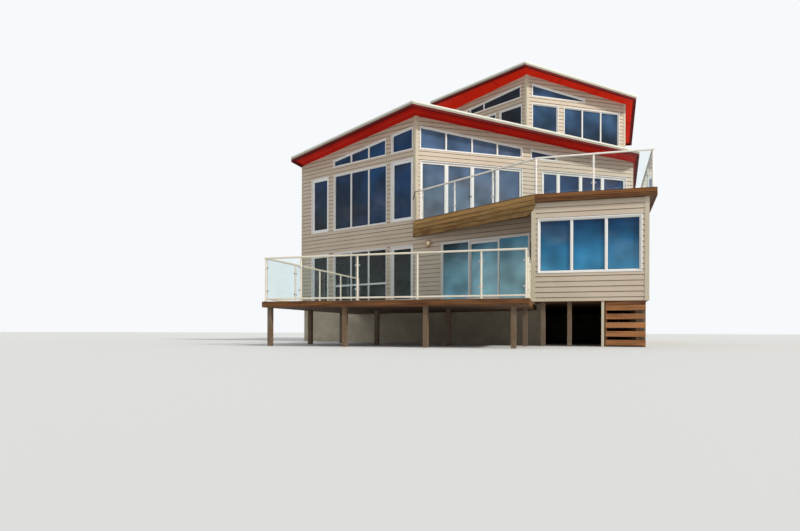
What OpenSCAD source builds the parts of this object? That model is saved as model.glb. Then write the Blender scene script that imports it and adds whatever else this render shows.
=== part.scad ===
// Beach house on three levels: a weatherboard house with two skillion roofs,
// an upper deck over an angled front room, and a railed terrace.
// Millimetres. The origin is at ground level, under the middle of the base wall at
// the front corner where the left wall and the deck wall meet. +X runs along the
// front room, +Y into the house.

/* [Plan] */
// Angle of the left wall away from the front line, degrees
left_turn = 22; // [15:1:30]
// Angle of the deck wall away from the front line, degrees
deck_wall_turn = 34.5; // [28:0.5:40]
// Length of the left wall, from the front corner back
left_len = 5930; // [5700:10:7000]
// Distance from the front corner to the house's right side
right_x = 7430; // [7300:10:8200]
// Distance from the front corner to the rear wall
rear_y = 10200; // [9600:50:12000]
// Thickness of the outside walls
wall_t = 150; // [110:5:220]
// Space left at the joints where pieces meet at an angle
joint_gap = 0.2; // [0.2:0.1:0.6]

/* [Front room] */
// Left corner of the front room
front_x = 4344; // [4000:4:4400]
// How far the front room stands ahead of the front corner
front_out = 3030; // [2800:10:3300]

/* [Top block] */
// Near corner of the top block, along the front
block_x = 3353; // [3000:1:3500]
// Near corner of the top block, back from the front
block_y = 4558; // [4300:1:4900]
// Length of the block's right wall
block_right_len = 4673; // [4500:1:4800]
// Length of the block's left wall
block_left_len = 4700; // [4300:10:5000]
// Angle of the block's left wall away from the front line, degrees
block_left_turn = 31.4; // [26:0.2:36]
// Lowest edge of the block's front walls, inside under the roof
block_wall_foot = 6250; // [6000:10:6260]

/* [Levels] */
// Top of the lower floor
lower_floor_z = 1380; // [1300:10:1500]
// Thickness of the lower floor
lower_floor_t = 120; // [90:5:200]
// Top of the upper floor and the deck
deck_z = 4300; // [4150:10:4500]
// Thickness of the upper floor
upper_floor_t = 250; // [200:10:300]
// Top of the top block's floor
top_floor_z = 7050; // [6900:10:7200]
// Thickness of the top block's floor
top_floor_t = 200; // [150:10:300]

/* [Roofs] */
// Underside of the main eaves over the front corner
main_soffit_z = 8000; // [7900:10:8200]
// Pitch of the main roof, degrees
main_fall = 14; // [12:0.5:15]
// Turn of the main roof's fall from straight back, degrees
main_turn = 10.4; // [5:0.2:15]
// Overhang of the main roof past the left and deck walls
main_eave = 550; // [400:10:700]
// Overhang of the main roof at the right side
main_side_eave = 170; // [100:10:300]
// Underside of the top eaves over the block's near corner
top_soffit_z = 10830; // [10750:10:11000]
// Pitch of the top roof, degrees
top_fall = 12.3; // [10:0.1:14]
// Turn of the top roof's fall from straight back, degrees
top_turn = -9; // [-14:0.5:-4]
// Overhang of the top roof past the block's right wall
top_eave = 500; // [400:10:650]
// Overhang of the top roof at the far end of the block's left wall
top_eave_far = 950; // [800:10:1000]
// Overhang of the top roof at its sides and rear
top_side_eave = 400; // [300:10:500]
// Thickness of the roofs above the eaves lining
roof_t = 120; // [80:5:160]
// Thickness of the eaves lining
soffit_t = 16; // [10:1:25]
// Thickness of the edge boards round the roofs
barge_t = 30; // [20:1:40]
// How far the edge boards stand above the roof
barge_up = 14; // [8:1:30]
// Width of the edge board's cap
barge_cap = 110; // [80:5:150]

/* [Windows and doors] */
// Width of a frame's members
frame_w = 50; // [40:1:60]
// Depth of a frame, through the wall
frame_d = 90; // [70:5:105]
// How far frames are set back from the wall's face
frame_back = 10; // [0:1:30]
// Thickness of the glass
glass_t = 8; // [5:1:12]
// Foot of the upper left windows above the upper floor
upper_sill = 60; // [40:5:150]
// Head of the upper left windows above the upper floor
upper_head = 2240; // [2150:10:2300]
// Head of the deck doors above the deck
deck_door_head = 2145; // [2080:5:2200]
// Foot of the high windows above the upper floor
high_sill = 2550; // [2500:10:2600]
// Distance from the main eaves down to the top of the high windows
high_drop = 325; // [290:5:360]
// Foot of the lower left windows above the lower floor
lower_sill = 70; // [40:5:150]
// Head of the lower windows above the lower floor
lower_head = 2090; // [2040:10:2150]
// Crossbar of the lower triple window above the lower floor
lower_transom = 800; // [600:10:1000]
// Wall beside the front room's window
front_margin = 160; // [130:5:200]
// Foot of the front room's window above the lower floor
front_sill = 690; // [600:10:800]
// Head of the front room's window above the lower floor
front_head = 2230; // [2150:10:2300]
// Foot of the top block's windows above its floor
top_sill = 800; // [700:10:950]
// Heads of the top block's windows, down from the eaves over its near corner
top_head = 1125; // [1080:5:1200]
// Feet of the top block's high windows, down from the eaves over its near corner
top_high_sill = 845; // [830:5:880]
// Distance from the top eaves down to the top of the high windows
top_high_drop = 300; // [260:5:310]
// Width of the plain windows on the sides that face away
side_window = 1200; // [900:50:1500]
// Start of the first plain window on the rear wall
rear_first = 1200; // [900:50:1400]
// Distance from one plain window to the next on the rear wall
rear_pitch = 2300; // [2000:50:2500]
// Start of the first plain window on the right side
side_first = 1500; // [1200:50:1700]
// Distance from one plain window to the next on the right side
side_pitch = 2600; // [2200:50:2700]
// Start of the plain window on the left end
end_first = 1900; // [1500:50:2200]
// How much lower the plain windows of the upper storeys end
plain_drop = 100; // [80:10:200]

/* [Window places] */
// Wall between the front corner and the near narrow left window
left_near_in = 110; // [100:5:200]
// Width of the near narrow left window
left_near_w = 1020; // [800:10:1100]
// Wall between the near narrow and the triple left window
left_triple_in = 210; // [150:10:300]
// Wall between the triple and the far narrow left window
left_triple_out = 300; // [200:10:400]
// Width of the far narrow left window
left_far_w = 970; // [800:10:1050]
// Wall between the far narrow left window and the wall's end
left_far_in = 580; // [450:10:700]
// How much shorter the near high left window is at each end than the one below it
high_left_in = 20; // [0:5:50]
// How much farther back the high window over the triple one stands
high_left_back = 45; // [0:5:100]
// Wall between the front corner and the near deck doors
doors_near_in = 170; // [120:5:250]
// Width of the near deck doors
doors_near_w = 4000; // [3600:20:4200]
// Start of the far deck doors, from the front corner
doors_far_in = 4990; // [4700:10:5200]
// Width of the first panel of the far deck doors
doors_far_first = 710; // [600:10:900]
// Width of the next panels of the far deck doors
doors_far_bay = 970; // [850:10:1000]
// Width of the far deck doors
doors_far_w = 3700; // [3550:10:3800]
// How much wider the near high window is than the doors below it
high_doors_out = 20; // [0:5:40]
// Start of the far high window over the deck doors
high_far_in = 4520; // [4400:10:4700]
// Width of the far high window over the deck doors
high_far_w = 1100; // [900:10:1200]
// Wall between the block's near corner and its windows
block_near_in = 240; // [180:10:300]
// Width of the first window of the block's left wall
block_first_w = 1160; // [1000:10:1250]
// Wall between the two windows of the block's left wall
block_gap = 210; // [150:10:300]
// Width of the second window of the block's left wall
block_second_w = 890; // [700:10:950]
// Width of the first window of the block's right wall
block_right_w = 1200; // [1000:10:1250]
// Wall between the block's first right window and its triple one
block_triple_in = 270; // [200:10:350]
// Wall between the block's triple window and the right wall's end
block_triple_out = 293; // [250:1:400]
// Start of the block's left high window, from the near corner
block_high_in = 300; // [250:10:400]
// Width of the block's left high window
block_high_w = 3600; // [3000:20:3700]
// Width of the two far bays of the block's left high window
block_high_bay = 795; // [700:5:900]
// Width of the block's right high window
block_right_high_w = 2460; // [2200:10:2500]

/* [Terrace door] */
// Near side of the door unit, along the left wall past the front corner
door_start = 1130; // [1000:10:1200]
// Width of one of the three panels' bays
door_bay = 1108; // [1000:2:1110]
// Height of the door opening
door_h = 2050; // [1980:10:2100]
// Width of the sliding panel's rails and stiles
panel_w = 70; // [50:1:90]
// Thickness of the sliding panel
panel_t = 35; // [28:1:40]
// Clear space round the sliding panel
panel_clear = 6; // [5:0.5:8]
// Running clearance of the sliding panel on its track
track_clear = 0.3; // [0.2:0.1:0.6]
// Height of the track
track_h = 14; // [10:1:20]

/* [Deck] */
// Angle of the deck's left edge away from the front line, degrees
deck_edge_turn = 34.9; // [33:0.1:36]
// How far the deck stands past the front room's wall
deck_over = 60; // [45:5:120]
// How far the deck stands past the house's right side
deck_side_over = 170; // [100:10:300]
// Thickness of the deck's floor
deck_t = 200; // [160:10:240]
// Thickness of the deck's edge boards
fascia_t = 35; // [25:1:40]
// Depth of the edge boards along the left edge
fascia_left_h = 575; // [450:5:700]
// Depth of the edge boards along the front
fascia_front_h = 230; // [210:5:300]
// Height of the deck's top rail
rail_h = 1060; // [1000:10:1150]
// Width of the handrails
rail_w = 60; // [50:1:70]
// Thickness of the handrails
rail_t = 40; // [30:1:50]
// Width of the rail posts
rail_post = 50; // [40:1:58]
// Start of the deck's left rail, from the house wall
rail_start_in = 330; // [250:10:450]
// Distance between the first two posts of the deck's left rail
rail_bay = 1650; // [1500:10:1700]
// How much wider the rail's next bay is
rail_bay_more = 80; // [0:10:120]
// Distance from the deck's corner to the next post along the front
corner_bay = 1560; // [1300:10:1700]
// Distance of the rail's middle line from the deck's edge
rail_in = 60; // [45:1:90]
// Thickness of the balustrade glass
rail_glass_t = 10; // [6:1:14]
// Space under the balustrade glass
rail_glass_up = 60; // [30:5:100]

/* [Terrace] */
// Top of the terrace floor
terrace_z = 1200; // [1150:10:1250]
// Thickness of the terrace floor
terrace_t = 140; // [100:5:180]
// Distance of the terrace's front edge ahead of the front corner
terrace_out = 6060; // [5600:10:6600]
// Left side of the terrace, left of the front corner
terrace_left = 2560; // [2200:10:3000]
// How far the terrace's front corner stands past the front room's left side
terrace_right_out = 220; // [100:10:300]
// Height of the terrace's top rail above its floor
terrace_rail_h = 1210; // [1100:10:1250]
// Height of the terrace's bottom rail above its floor
terrace_low_rail = 60; // [40:5:120]
// Distance from the terrace rail's left corner to the next post
terrace_first = 1055; // [900:5:1200]
// Distance between the terrace rail's posts
terrace_bay = 1621; // [1550:1:1640]
// Set-back of the posts under the floors from the edges
post_in = 150; // [120:10:200]
// Distance between the rows of posts under the terrace
terrace_row_step = 2500; // [2200:50:2700]
// Width of the posts under the floors
post_w = 120; // [90:5:150]

/* [Base] */
// Thickness of the base walls
base_t = 190; // [150:10:230]
// Set-back of the base walls from the walls above
base_in = 60; // [40:5:100]
// Height of one slat under the front room
slat_h = 150; // [120:5:170]
// Distance from one slat to the next
slat_pitch = 240; // [220:5:260]
// Thickness of a slat
slat_t = 40; // [25:1:50]
// Width of the slatted panel
slat_len = 1040; // [900:10:1100]
// Set-back of the slatted panel from the wall's face
slat_in = 10; // [5:1:20]
// Space over the slatted panel
slat_gap = 10; // [5:1:20]
// Set-back of the lower floor's edge from the walls' faces
floor_in = 30; // [20:1:50]
// Height of the board over the slats
slat_head = 100; // [80:5:120]

/* [Trim] */
// Width of the corner boards
corner_w = 90; // [60:5:95]
// Width of the narrow corner boards on the sides that face away
stop_w = 35; // [28:1:60]
// Thickness of the corner boards
corner_t = 25; // [18:1:35]
// Place of the wall light, along the left wall past the front corner
light_in = 600; // [500:10:700]
// Height of the wall light above the lower floor
light_up = 2076; // [1900:1:2200]
// Rim of the wall light round its lens
light_rim = 22; // [15:1:30]
// Depth of the wall light's lens behind its rim
lens_in = 12; // [6:1:20]
// Foot of the slim fitting above the lower floor
fitting_up = 1030; // [900:10:1200]
// Distance of the slim fitting's rod from the wall
fitting_out = 55; // [45:1:70]
// Distance of the slim fitting from the front room's corner
fitting_back = 130; // [110:5:200]
// Height of the slim fitting beside the front room's corner
fitting_h = 560; // [400:10:700]
// Thickness of the slim fitting's rod
fitting_d = 32; // [20:1:45]
// Radius of the round wall light
light_r = 110; // [80:5:140]
// Depth of the round wall light
light_d = 80; // [50:5:110]

/* [Hidden] */
$fn = 48;

// Larger than the house in every direction
far = 40000;

// Points and lines in plan

function way(a) = [cos(a), sin(a)];
function cross2(a, b) = a[0] * b[1] - a[1] * b[0];
// Where the line through p at angle a meets the line through q at angle b
function meet(p, a, q, b) =
    p + way(a) * cross2(q - p, way(b)) / cross2(way(a), way(b));
function unit(v) = v / norm(v);
function inward(p, q) = let (u = unit(q - p)) [-u[1], u[0]];
function angle_of(v) = atan2(v[1], v[0]);
// A counter-clockwise outline moved in by t[i] along each side i
function inset(pts, t) = let (n = len(pts)) [for (i = [0:n - 1])
    let (h = (i + n - 1) % n, j = (i + 1) % n,
        a = pts[h] + inward(pts[h], pts[i]) * t[h],
        b = pts[i] + inward(pts[i], pts[j]) * t[i])
    meet(a, angle_of(pts[i] - pts[h]), b, angle_of(pts[j] - pts[i]))];
function same(n, t) = [for (i = [1:n]) t];
// The mitred plan of wall i of an outline, and the same short of its neighbours by a joint
function mitred_plan(pts, t, i) = let (n = len(pts), j = (i + 1) % n, in = inset(pts, same(n, t)))
    [pts[i], pts[j], in[j], in[i]];
function wall_plan(pts, t, i) = let (p = mitred_plan(pts, t, i),
    short = unit(p[1] - p[0]) * joint_gap / 2)
    [p[0] + short, p[1] - short, p[2] - short, p[3] + short];

// The front corner of the walls; the origin lies under the base wall behind it
corner = [0, -base_in - base_t / 2];
front_y = corner[1] - front_out;
rear_line = corner[1] + rear_y;
left_end = corner - left_len * way(-left_turn);
deck_wall_end = meet(corner, deck_wall_turn, [right_x, 0], 90);
block = corner + [block_x, block_y];
block_right = block + block_right_len * way(deck_wall_turn);
block_left = block - block_left_len * way(-block_left_turn);
right_step = meet(block, deck_wall_turn, [right_x, 0], 90);
rear_right = [block_right[0], rear_line];
rear_left = [block_left[0], rear_line];
wing_rear = meet(left_end, 90 - left_turn, block_left, 180);
front_left = [front_x, front_y];
front_right = [right_x, front_y];
front_joint = meet(corner, -left_turn, front_left, 90);

lower_plan = [left_end, front_joint, front_left, front_right, right_step, block_right,
    rear_right, rear_left, block_left, wing_rear];
upper_plan = [left_end, corner, deck_wall_end, right_step, block_right,
    rear_right, rear_left, block_left, wing_rear];
top_plan = [block_left, block, block_right, rear_right, rear_left];

// The deck's outline, its left edge from the front corner
deck_front_y = front_y - deck_over;
deck_corner = meet(corner, -deck_edge_turn, [0, deck_front_y], 0);
deck_side_x = right_x + deck_side_over;
deck_plan = [corner, deck_corner, [deck_side_x, deck_front_y],
    [deck_side_x, deck_wall_end[1]], deck_wall_end];
deck_under = deck_z - deck_t;
deck_left_len = norm(deck_corner - corner);

terrace_y = corner[1] - terrace_out;
terrace_corner = [front_x + terrace_right_out, terrace_y];
terrace_wall = meet(corner, -left_turn, [-terrace_left, 0], 90);
terrace_plan = [terrace_wall, [-terrace_left, terrace_y], terrace_corner,
    front_left, front_joint];

// Roof planes: rise along X and along Y for each millimetre
function rise(fall, turn) = [tan(fall) * sin(turn), -tan(fall) * cos(turn)];
main_rise = rise(main_fall, main_turn);
top_rise = rise(top_fall, top_turn);
function main_under(p) = main_soffit_z + main_rise * (p - corner);
function top_under(p) = top_soffit_z + top_rise * (p - block);

// Everything below the plane that passes through z over point p
module below(p, z, fall, turn) {
    translate([p[0], p[1], z]) rotate([0, 0, turn]) rotate([-fall, 0, 0])
        translate([-far, -far, -2 * far]) cube(2 * far);
}
module below_main(up) { below(corner, main_soffit_z + up, main_fall, main_turn); }
module below_top(up) { below(block, top_soffit_z + up, top_fall, top_turn); }

module prism(pts, z0, z1) {
    translate([0, 0, z0]) linear_extrude(z1 - z0) polygon(pts);
}
// A plan outline between two heights over the main or the top roof plane
module main_layer(pts, low, high) {
    difference() {
        intersection() {
            prism(pts, 0, 2 * top_soffit_z);
            below_main(high);
        }
        below_main(low);
    }
}
module top_layer(pts, low, high) {
    difference() {
        intersection() {
            prism(pts, 0, 2 * top_soffit_z);
            below_top(high);
        }
        below_top(low);
    }
}

// Windows. Each is [start, end, foot, head at start, head at end, mullions, crossbar],
// with its places measured along the wall. A crossbar of 0 is none.

// Puts drawings made on a wall's face (x along, y into the house) on that wall
module on_wall(p, turn) {
    translate([p[0], p[1], 0]) rotate([0, 0, turn]) children();
}
function square_window(a, b, foot, head, bars = [], transom = 0) =
    [a, b, foot, head, head, bars, transom];
function head_at(w, x) = w[3] + (w[4] - w[3]) * (x - w[0]) / (w[1] - w[0]);
module upright(pts, y0, y1) {
    translate([0, y1, 0]) rotate([90, 0, 0]) linear_extrude(y1 - y0) polygon(pts);
}
// An opening is larger than its window by the joint
module window_hole(w, deeper = 0) {
    a = w[0] - joint_gap;
    b = w[1] + joint_gap;
    foot = w[2] - joint_gap - deeper;
    upright([[a, foot], [b, foot], [b, head_at(w, b) + joint_gap], [a, head_at(w, a) + joint_gap]],
        -corner_t - wall_t, 2 * wall_t);
}
function pane_edges(w) = concat([w[0] + frame_w / 2], w[5], [w[1] - frame_w / 2]);
function pane(w, a, b, foot, drop) =
    [[a, foot], [b, foot], [b, head_at(w, b) - drop], [a, head_at(w, a) - drop]];
function panes(w) = let (e = pane_edges(w)) [for (i = [0:len(e) - 2])
    let (a = e[i] + frame_w / 2, b = e[i + 1] - frame_w / 2)
    each w[6] == 0 ? [pane(w, a, b, w[2] + frame_w, frame_w)]
        : [pane(w, a, b, w[6] + frame_w / 2, frame_w),
           [[a, w[2] + frame_w], [b, w[2] + frame_w],
            [b, w[6] - frame_w / 2], [a, w[6] - frame_w / 2]]]];
module window_frame(w) {
    difference() {
        upright([[w[0], w[2]], [w[1], w[2]], [w[1], w[4]], [w[0], w[3]]],
            frame_back, frame_back + frame_d);
        for (p = panes(w)) upright(p, frame_back - 1, frame_back + frame_d + 1);
    }
}
glass_back = frame_back + frame_d / 2;
module window_glass(w) {
    for (p = panes(w)) upright(p, glass_back - glass_t / 2, glass_back + glass_t / 2);
}

// The same places measured from the other end, in rising order
function mirrored(bars) = [for (i = [len(bars) - 1:-1:0]) -bars[i]];
// Mullions that part a span into equal bays
function bays(span, n) = [for (i = [1:n - 1]) span[0] + (span[1] - span[0]) * i / n];
// Places along the left wall, from the front corner back, and their mullions
left_narrow_near = [left_near_in, left_near_in + left_near_w];
left_narrow_far = [left_len - left_far_in - left_far_w, left_len - left_far_in];
left_triple = [left_narrow_near[1] + left_triple_in, left_narrow_far[0] - left_triple_out];
left_triple_bars = bays(left_triple, 3);
high_triple = [for (x = left_triple) x + high_left_back];
function left_window(span, foot, head, bars = [], transom = 0) =
    square_window(-span[1], -span[0], foot, head, mirrored(bars), transom);

upper_foot = deck_z + upper_sill;
upper_top = deck_z + upper_head;
high_foot = deck_z + high_sill;
function back_along(span, less) = [-span[1] + less, -span[0] - less];
function main_high(span, turn, bars) = let (a = span[0], b = span[1]) [a, b, high_foot,
    main_under(corner + a * way(turn)) - high_drop,
    main_under(corner + b * way(turn)) - high_drop, bars, 0];
upper_left_list = [
    left_window(left_narrow_near, upper_foot, upper_top),
    left_window(left_triple, upper_foot, upper_top, left_triple_bars),
    left_window(left_narrow_far, upper_foot, upper_top),
    main_high(back_along(left_narrow_near, high_left_in), -left_turn, []),
    main_high(back_along(high_triple, 0), -left_turn, mirrored(left_triple_bars))];

lower_foot = lower_floor_z + lower_sill;
lower_top = lower_floor_z + lower_head;
lower_left_list = [
    left_window(left_narrow_near, lower_foot, lower_top),
    left_window(left_triple, lower_foot, lower_top, left_triple_bars,
        lower_floor_z + lower_transom),
    left_window(left_narrow_far, lower_foot, lower_top)];

// The front room's window, from its left corner, and the margins beside it
front_len = right_x - front_x;
front_bay = (front_len - 2 * front_margin) / 3;
front_list = [square_window(front_margin, front_len - front_margin,
    lower_floor_z + front_sill, lower_floor_z + front_head,
    [front_margin + front_bay, front_margin + 2 * front_bay])];

// The deck wall's two door sets stand on the deck, with high windows over them
deck_door_top = deck_z + deck_door_head;
doors_near = [doors_near_in, doors_near_in + doors_near_w];
high_near = [doors_near[0] - high_doors_out, doors_near[1]];
deck_list = [
    square_window(doors_near[0], doors_near[1], deck_z + joint_gap, deck_door_top,
        bays(doors_near, 4)),
    square_window(doors_far_in, doors_far_in + doors_far_w, deck_z + joint_gap, deck_door_top,
        [for (i = [0:2]) doors_far_in + doors_far_first + i * doors_far_bay]),
    main_high(high_near, deck_wall_turn, bays(high_near, 4)),
    main_high([high_far_in, high_far_in + high_far_w], deck_wall_turn, [])];

top_foot = top_floor_z + top_sill;
top_head_z = top_soffit_z - top_head;
top_high_foot = top_soffit_z - top_high_sill;
function top_high(span, turn, bars) = [span[0], span[1], top_high_foot,
    top_under(block + span[0] * way(turn)) - top_high_drop,
    top_under(block + span[1] * way(turn)) - top_high_drop, bars, 0];
block_first = [block_near_in, block_near_in + block_first_w];
block_second = block_first[1] + block_gap;
block_high_far = -block_high_in - block_high_w;
top_left_list = [
    left_window(block_first, top_foot, top_head_z),
    left_window([block_second, block_second + block_second_w], top_foot, top_head_z),
    top_high([block_high_far, -block_high_in], -block_left_turn,
        [block_high_far + block_high_bay, block_high_far + 2 * block_high_bay])];
// The right high window runs out to a narrow end under the falling eaves
block_right_first = [block_near_in, block_near_in + block_right_w];
block_triple = [block_right_first[1] + block_triple_in, block_right_len - block_triple_out];
top_right_list = [
    square_window(block_right_first[0], block_right_first[1], top_foot, top_head_z),
    square_window(block_triple[0], block_triple[1], top_foot, top_head_z, bays(block_triple, 3)),
    top_high([block_near_in, block_near_in + block_right_high_w], deck_wall_turn, [])];

// Plain windows on the sides that face away
function plain_row(a, count, pitch, foot, head) =
    [for (i = [0:count - 1]) square_window(a + i * pitch, a + i * pitch + side_window, foot, head)];
right_lower_list = plain_row(side_first, 3, side_pitch, lower_floor_z + front_sill, lower_top);
rear_lower_list = plain_row(rear_first, 3, rear_pitch, lower_floor_z + front_sill, lower_top);
rear_upper_list = plain_row(rear_first, 3, rear_pitch, deck_z + front_sill, upper_top);
rear_top_list = plain_row(rear_first, 3, rear_pitch, top_foot, top_head_z - 2 * plain_drop);
end_lower_list = plain_row(end_first, 1, 0, lower_floor_z + front_sill, lower_top);
end_upper_list = plain_row(end_first, 1, 0, deck_z + front_sill, upper_top - plain_drop);
end_turn = 270 - left_turn;

module cut_windows(list) {
    for (w = list) window_hole(w);
}

// Base and floors

base_top = lower_floor_z - lower_floor_t;
base_plan = inset(lower_plan, same(10, base_in));
module base_walls() {
    color("#b9b2a2") for (i = [0, 3, 4, 5, 6, 7, 8, 9]) prism(wall_plan(base_plan, base_t, i), 0, base_top);
}
module square_post(p, z0, z1) {
    translate([p[0] - post_w / 2, p[1] - post_w / 2, z0]) cube([post_w, post_w, z1 - z0]);
}
terrace_under = terrace_z - terrace_t;
terrace_post_step = (terrace_left + front_x - 2 * post_in) / 3;
module floor_posts() {
    color("#6b5136") {
        for (x = [front_x + 2 * post_in, front_x + front_len / 3])
            square_post([x, front_y + post_in], 0, base_top);
        for (row = [0:1], i = [0:3])
            square_post([-terrace_left + post_in + i * terrace_post_step,
                terrace_y + post_in + row * terrace_row_step], 0, terrace_under);
        square_post([-terrace_left + post_in, terrace_y + post_in + 2 * terrace_row_step],
            0, terrace_under);
    }
}
// The slats stand a little behind the wall above, with a narrow gap under their head board
slat_top = base_top - slat_head - slat_gap - slat_h;
slat_rows = floor(slat_top / slat_pitch);
module underfloor_slats() {
    color("#7a4a2c") translate([right_x - base_in - slat_len, front_y + slat_in, 0]) {
        translate([0, 0, base_top - slat_head]) cube([slat_len, slat_t, slat_head]);
        for (i = [0:slat_rows]) translate([0, 0, slat_top - i * slat_pitch])
            cube([slat_len, slat_t, slat_h]);
        for (x = [0, slat_len / 2, slat_len - base_t - slat_t])
            translate([x, slat_t, 0]) cube([slat_t, slat_t, base_top]);
    }
}
module lower_floor() {
    color("#8b7355") prism(inset(lower_plan, same(10, floor_in)), base_top, lower_floor_z);
}
module deck_space() { prism(deck_plan, deck_under, deck_z + 1); }
upper_floor_plan = inset(lower_plan, same(10, wall_t + joint_gap));
module upper_floor() {
    color("#8b7355") intersection() {
        prism(upper_floor_plan, deck_z - upper_floor_t, deck_z);
        prism(upper_plan, 0, deck_z + 1);
    }
}
module top_floor() {
    color("#8b7355") prism(inset(top_plan, same(5, wall_t + joint_gap)),
        top_floor_z - top_floor_t, top_floor_z);
}

// Lower walls

wall_color = "#a9a698";
door_end = door_start + 3 * door_bay;
door_top = lower_floor_z + door_h;
module left_strip(a, b, z0, z1) {
    on_wall(corner, -left_turn) translate([a, -wall_t, z0]) cube([b - a, 4 * wall_t, z1 - z0]);
}
module lower_left_run() {
    difference() {
        prism(wall_plan(lower_plan, wall_t, 0), lower_floor_z, deck_z);
        deck_space();
    }
}
module lower_left_wall() {
    color(wall_color) difference() {
        lower_left_run();
        left_strip(door_start - joint_gap, far, 0, deck_z + 1);
        on_wall(corner, -left_turn) cut_windows(lower_left_list);
    }
}
module lower_wall_over_door() {
    color(wall_color) intersection() {
        lower_left_run();
        left_strip(door_start, door_end, door_top + joint_gap, deck_z + 1);
    }
}
module front_room_side_wall() {
    color(wall_color) union() {
        intersection() {
            lower_left_run();
            left_strip(door_end + joint_gap, far, 0, deck_z + 1);
        }
        prism(wall_plan(lower_plan, wall_t, 1), lower_floor_z, deck_under);
    }
}
module front_room_wall() {
    color(wall_color) difference() {
        prism(wall_plan(lower_plan, wall_t, 2), lower_floor_z, deck_under);
        on_wall(front_left, 0) cut_windows(front_list);
    }
}
module lower_right_wall() {
    color(wall_color) difference() {
        for (i = [3, 4]) prism(wall_plan(lower_plan, wall_t, i), lower_floor_z, deck_z);
        deck_space();
        on_wall(front_right, 90) cut_windows(right_lower_list);
    }
}
module lower_back_walls() {
    color(wall_color) difference() {
        for (i = [5:9]) prism(wall_plan(lower_plan, wall_t, i), lower_floor_z, deck_z);
        on_wall(rear_right, 180) cut_windows(rear_lower_list);
        on_wall(wing_rear, end_turn) cut_windows(end_lower_list);
    }
}

// Upper walls, up to the main roof, with the rear ones up to the top floor's level

module upper_wall(i) {
    intersection() {
        prism(wall_plan(upper_plan, wall_t, i), deck_z, 2 * main_soffit_z);
        below_main(soffit_t - joint_gap);
    }
}
module upper_left_wall() {
    color(wall_color) difference() {
        upper_wall(0);
        on_wall(corner, -left_turn) cut_windows(upper_left_list);
    }
}
module upper_deck_wall() {
    color(wall_color) difference() {
        upper_wall(1);
        on_wall(corner, deck_wall_turn) {
            cut_windows(deck_list);
            for (i = [0, 1]) window_hole(deck_list[i], wall_t);
        }
    }
}
module upper_right_wall() {
    color(wall_color) for (i = [2, 3]) upper_wall(i);
}
top_walls_foot = top_floor_z - top_floor_t;
module over_main_roof() {
    difference() {
        prism(inset(main_outline, same(8, -joint_gap)), 0, 2 * top_soffit_z);
        below_main(soffit_t - joint_gap);
    }
}
module upper_back_walls() {
    color(wall_color) difference() {
        union() {
            for (i = [4:6]) prism(wall_plan(upper_plan, wall_t, i), deck_z, top_walls_foot);
            for (i = [7, 8]) upper_wall(i);
        }
        over_main_roof();
        on_wall(rear_right, 180) cut_windows(rear_upper_list);
        on_wall(wing_rear, end_turn) cut_windows(end_upper_list);
    }
}

// Walls of the top block

module top_wall(i, foot) {
    intersection() {
        prism(wall_plan(top_plan, wall_t, i), foot, 2 * top_soffit_z);
        below_top(soffit_t - joint_gap);
    }
}
module upper_back_space() {
    for (i = [3:6]) prism(inset(mitred_plan(upper_plan, wall_t, i), same(4, -joint_gap)),
        0, top_walls_foot);
}
module top_left_wall() {
    color(wall_color) difference() {
        top_wall(0, block_wall_foot);
        upper_back_space();
        on_wall(block, -block_left_turn) cut_windows(top_left_list);
    }
}
module top_right_wall() {
    color(wall_color) difference() {
        top_wall(1, block_wall_foot);
        upper_back_space();
        on_wall(block, deck_wall_turn) cut_windows(top_right_list);
    }
}
module top_back_walls() {
    color(wall_color) difference() {
        for (i = [2:4]) top_wall(i, top_walls_foot);
        on_wall(rear_right, 180) cut_windows(rear_top_list);
    }
}

// Roofs: a lining under the eaves, the roof itself and boards round its edges

main_near = meet(corner - main_eave * inward(left_end, corner), -left_turn,
    corner - main_eave * inward(corner, deck_wall_end), deck_wall_turn);
main_right_x = right_x + main_side_eave;
main_left_far = left_end - main_eave * inward(left_end, corner);
main_wing_rear = meet(main_left_far, 90 - left_turn, [0, wing_rear[1] + main_side_eave], 0);
main_right_near = meet(main_near, deck_wall_turn, [main_right_x, 0], 90);
block_seat = inset(top_plan, same(5, -joint_gap));
main_outline = [main_left_far, main_near, main_right_near,
    meet(block_seat[1], deck_wall_turn, [main_right_x, 0], 90), block_seat[1], block_seat[0],
    [block_seat[0][0], wing_rear[1] + main_side_eave], main_wing_rear];
main_open_sides = [0, 1, 2, 6, 7];

top_right_x = block_right[0] + top_side_eave;
top_far = block_left - top_eave_far * inward(block_left, block);
top_corner_out = meet(block - top_eave * inward(block_left, block), -block_left_turn,
    block - top_eave * inward(block, block_right), deck_wall_turn);
top_left_x = block_left[0] - top_side_eave;
top_left_angle = angle_of(top_corner_out - top_far);
top_outline = [meet(top_far, top_left_angle, [top_left_x, 0], 90), top_corner_out,
    meet(top_corner_out, deck_wall_turn, [top_right_x, 0], 90),
    [top_right_x, rear_line + top_side_eave], [top_left_x, rear_line + top_side_eave]];

roof_color = "#c9c6bb";
soffit_color = "#a51410";
edge_color = "#e4e0cf";
roof_under = soffit_t;
roof_over = soffit_t + roof_t;

module main_roof() {
    color(roof_color) main_layer(main_outline, roof_under, roof_over);
}
module main_soffit() {
    color(soffit_color) difference() {
        main_layer(main_outline, 0, soffit_t - joint_gap);
        prism(inset(upper_plan, same(9, -joint_gap)), 0, far);
    }
}
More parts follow.
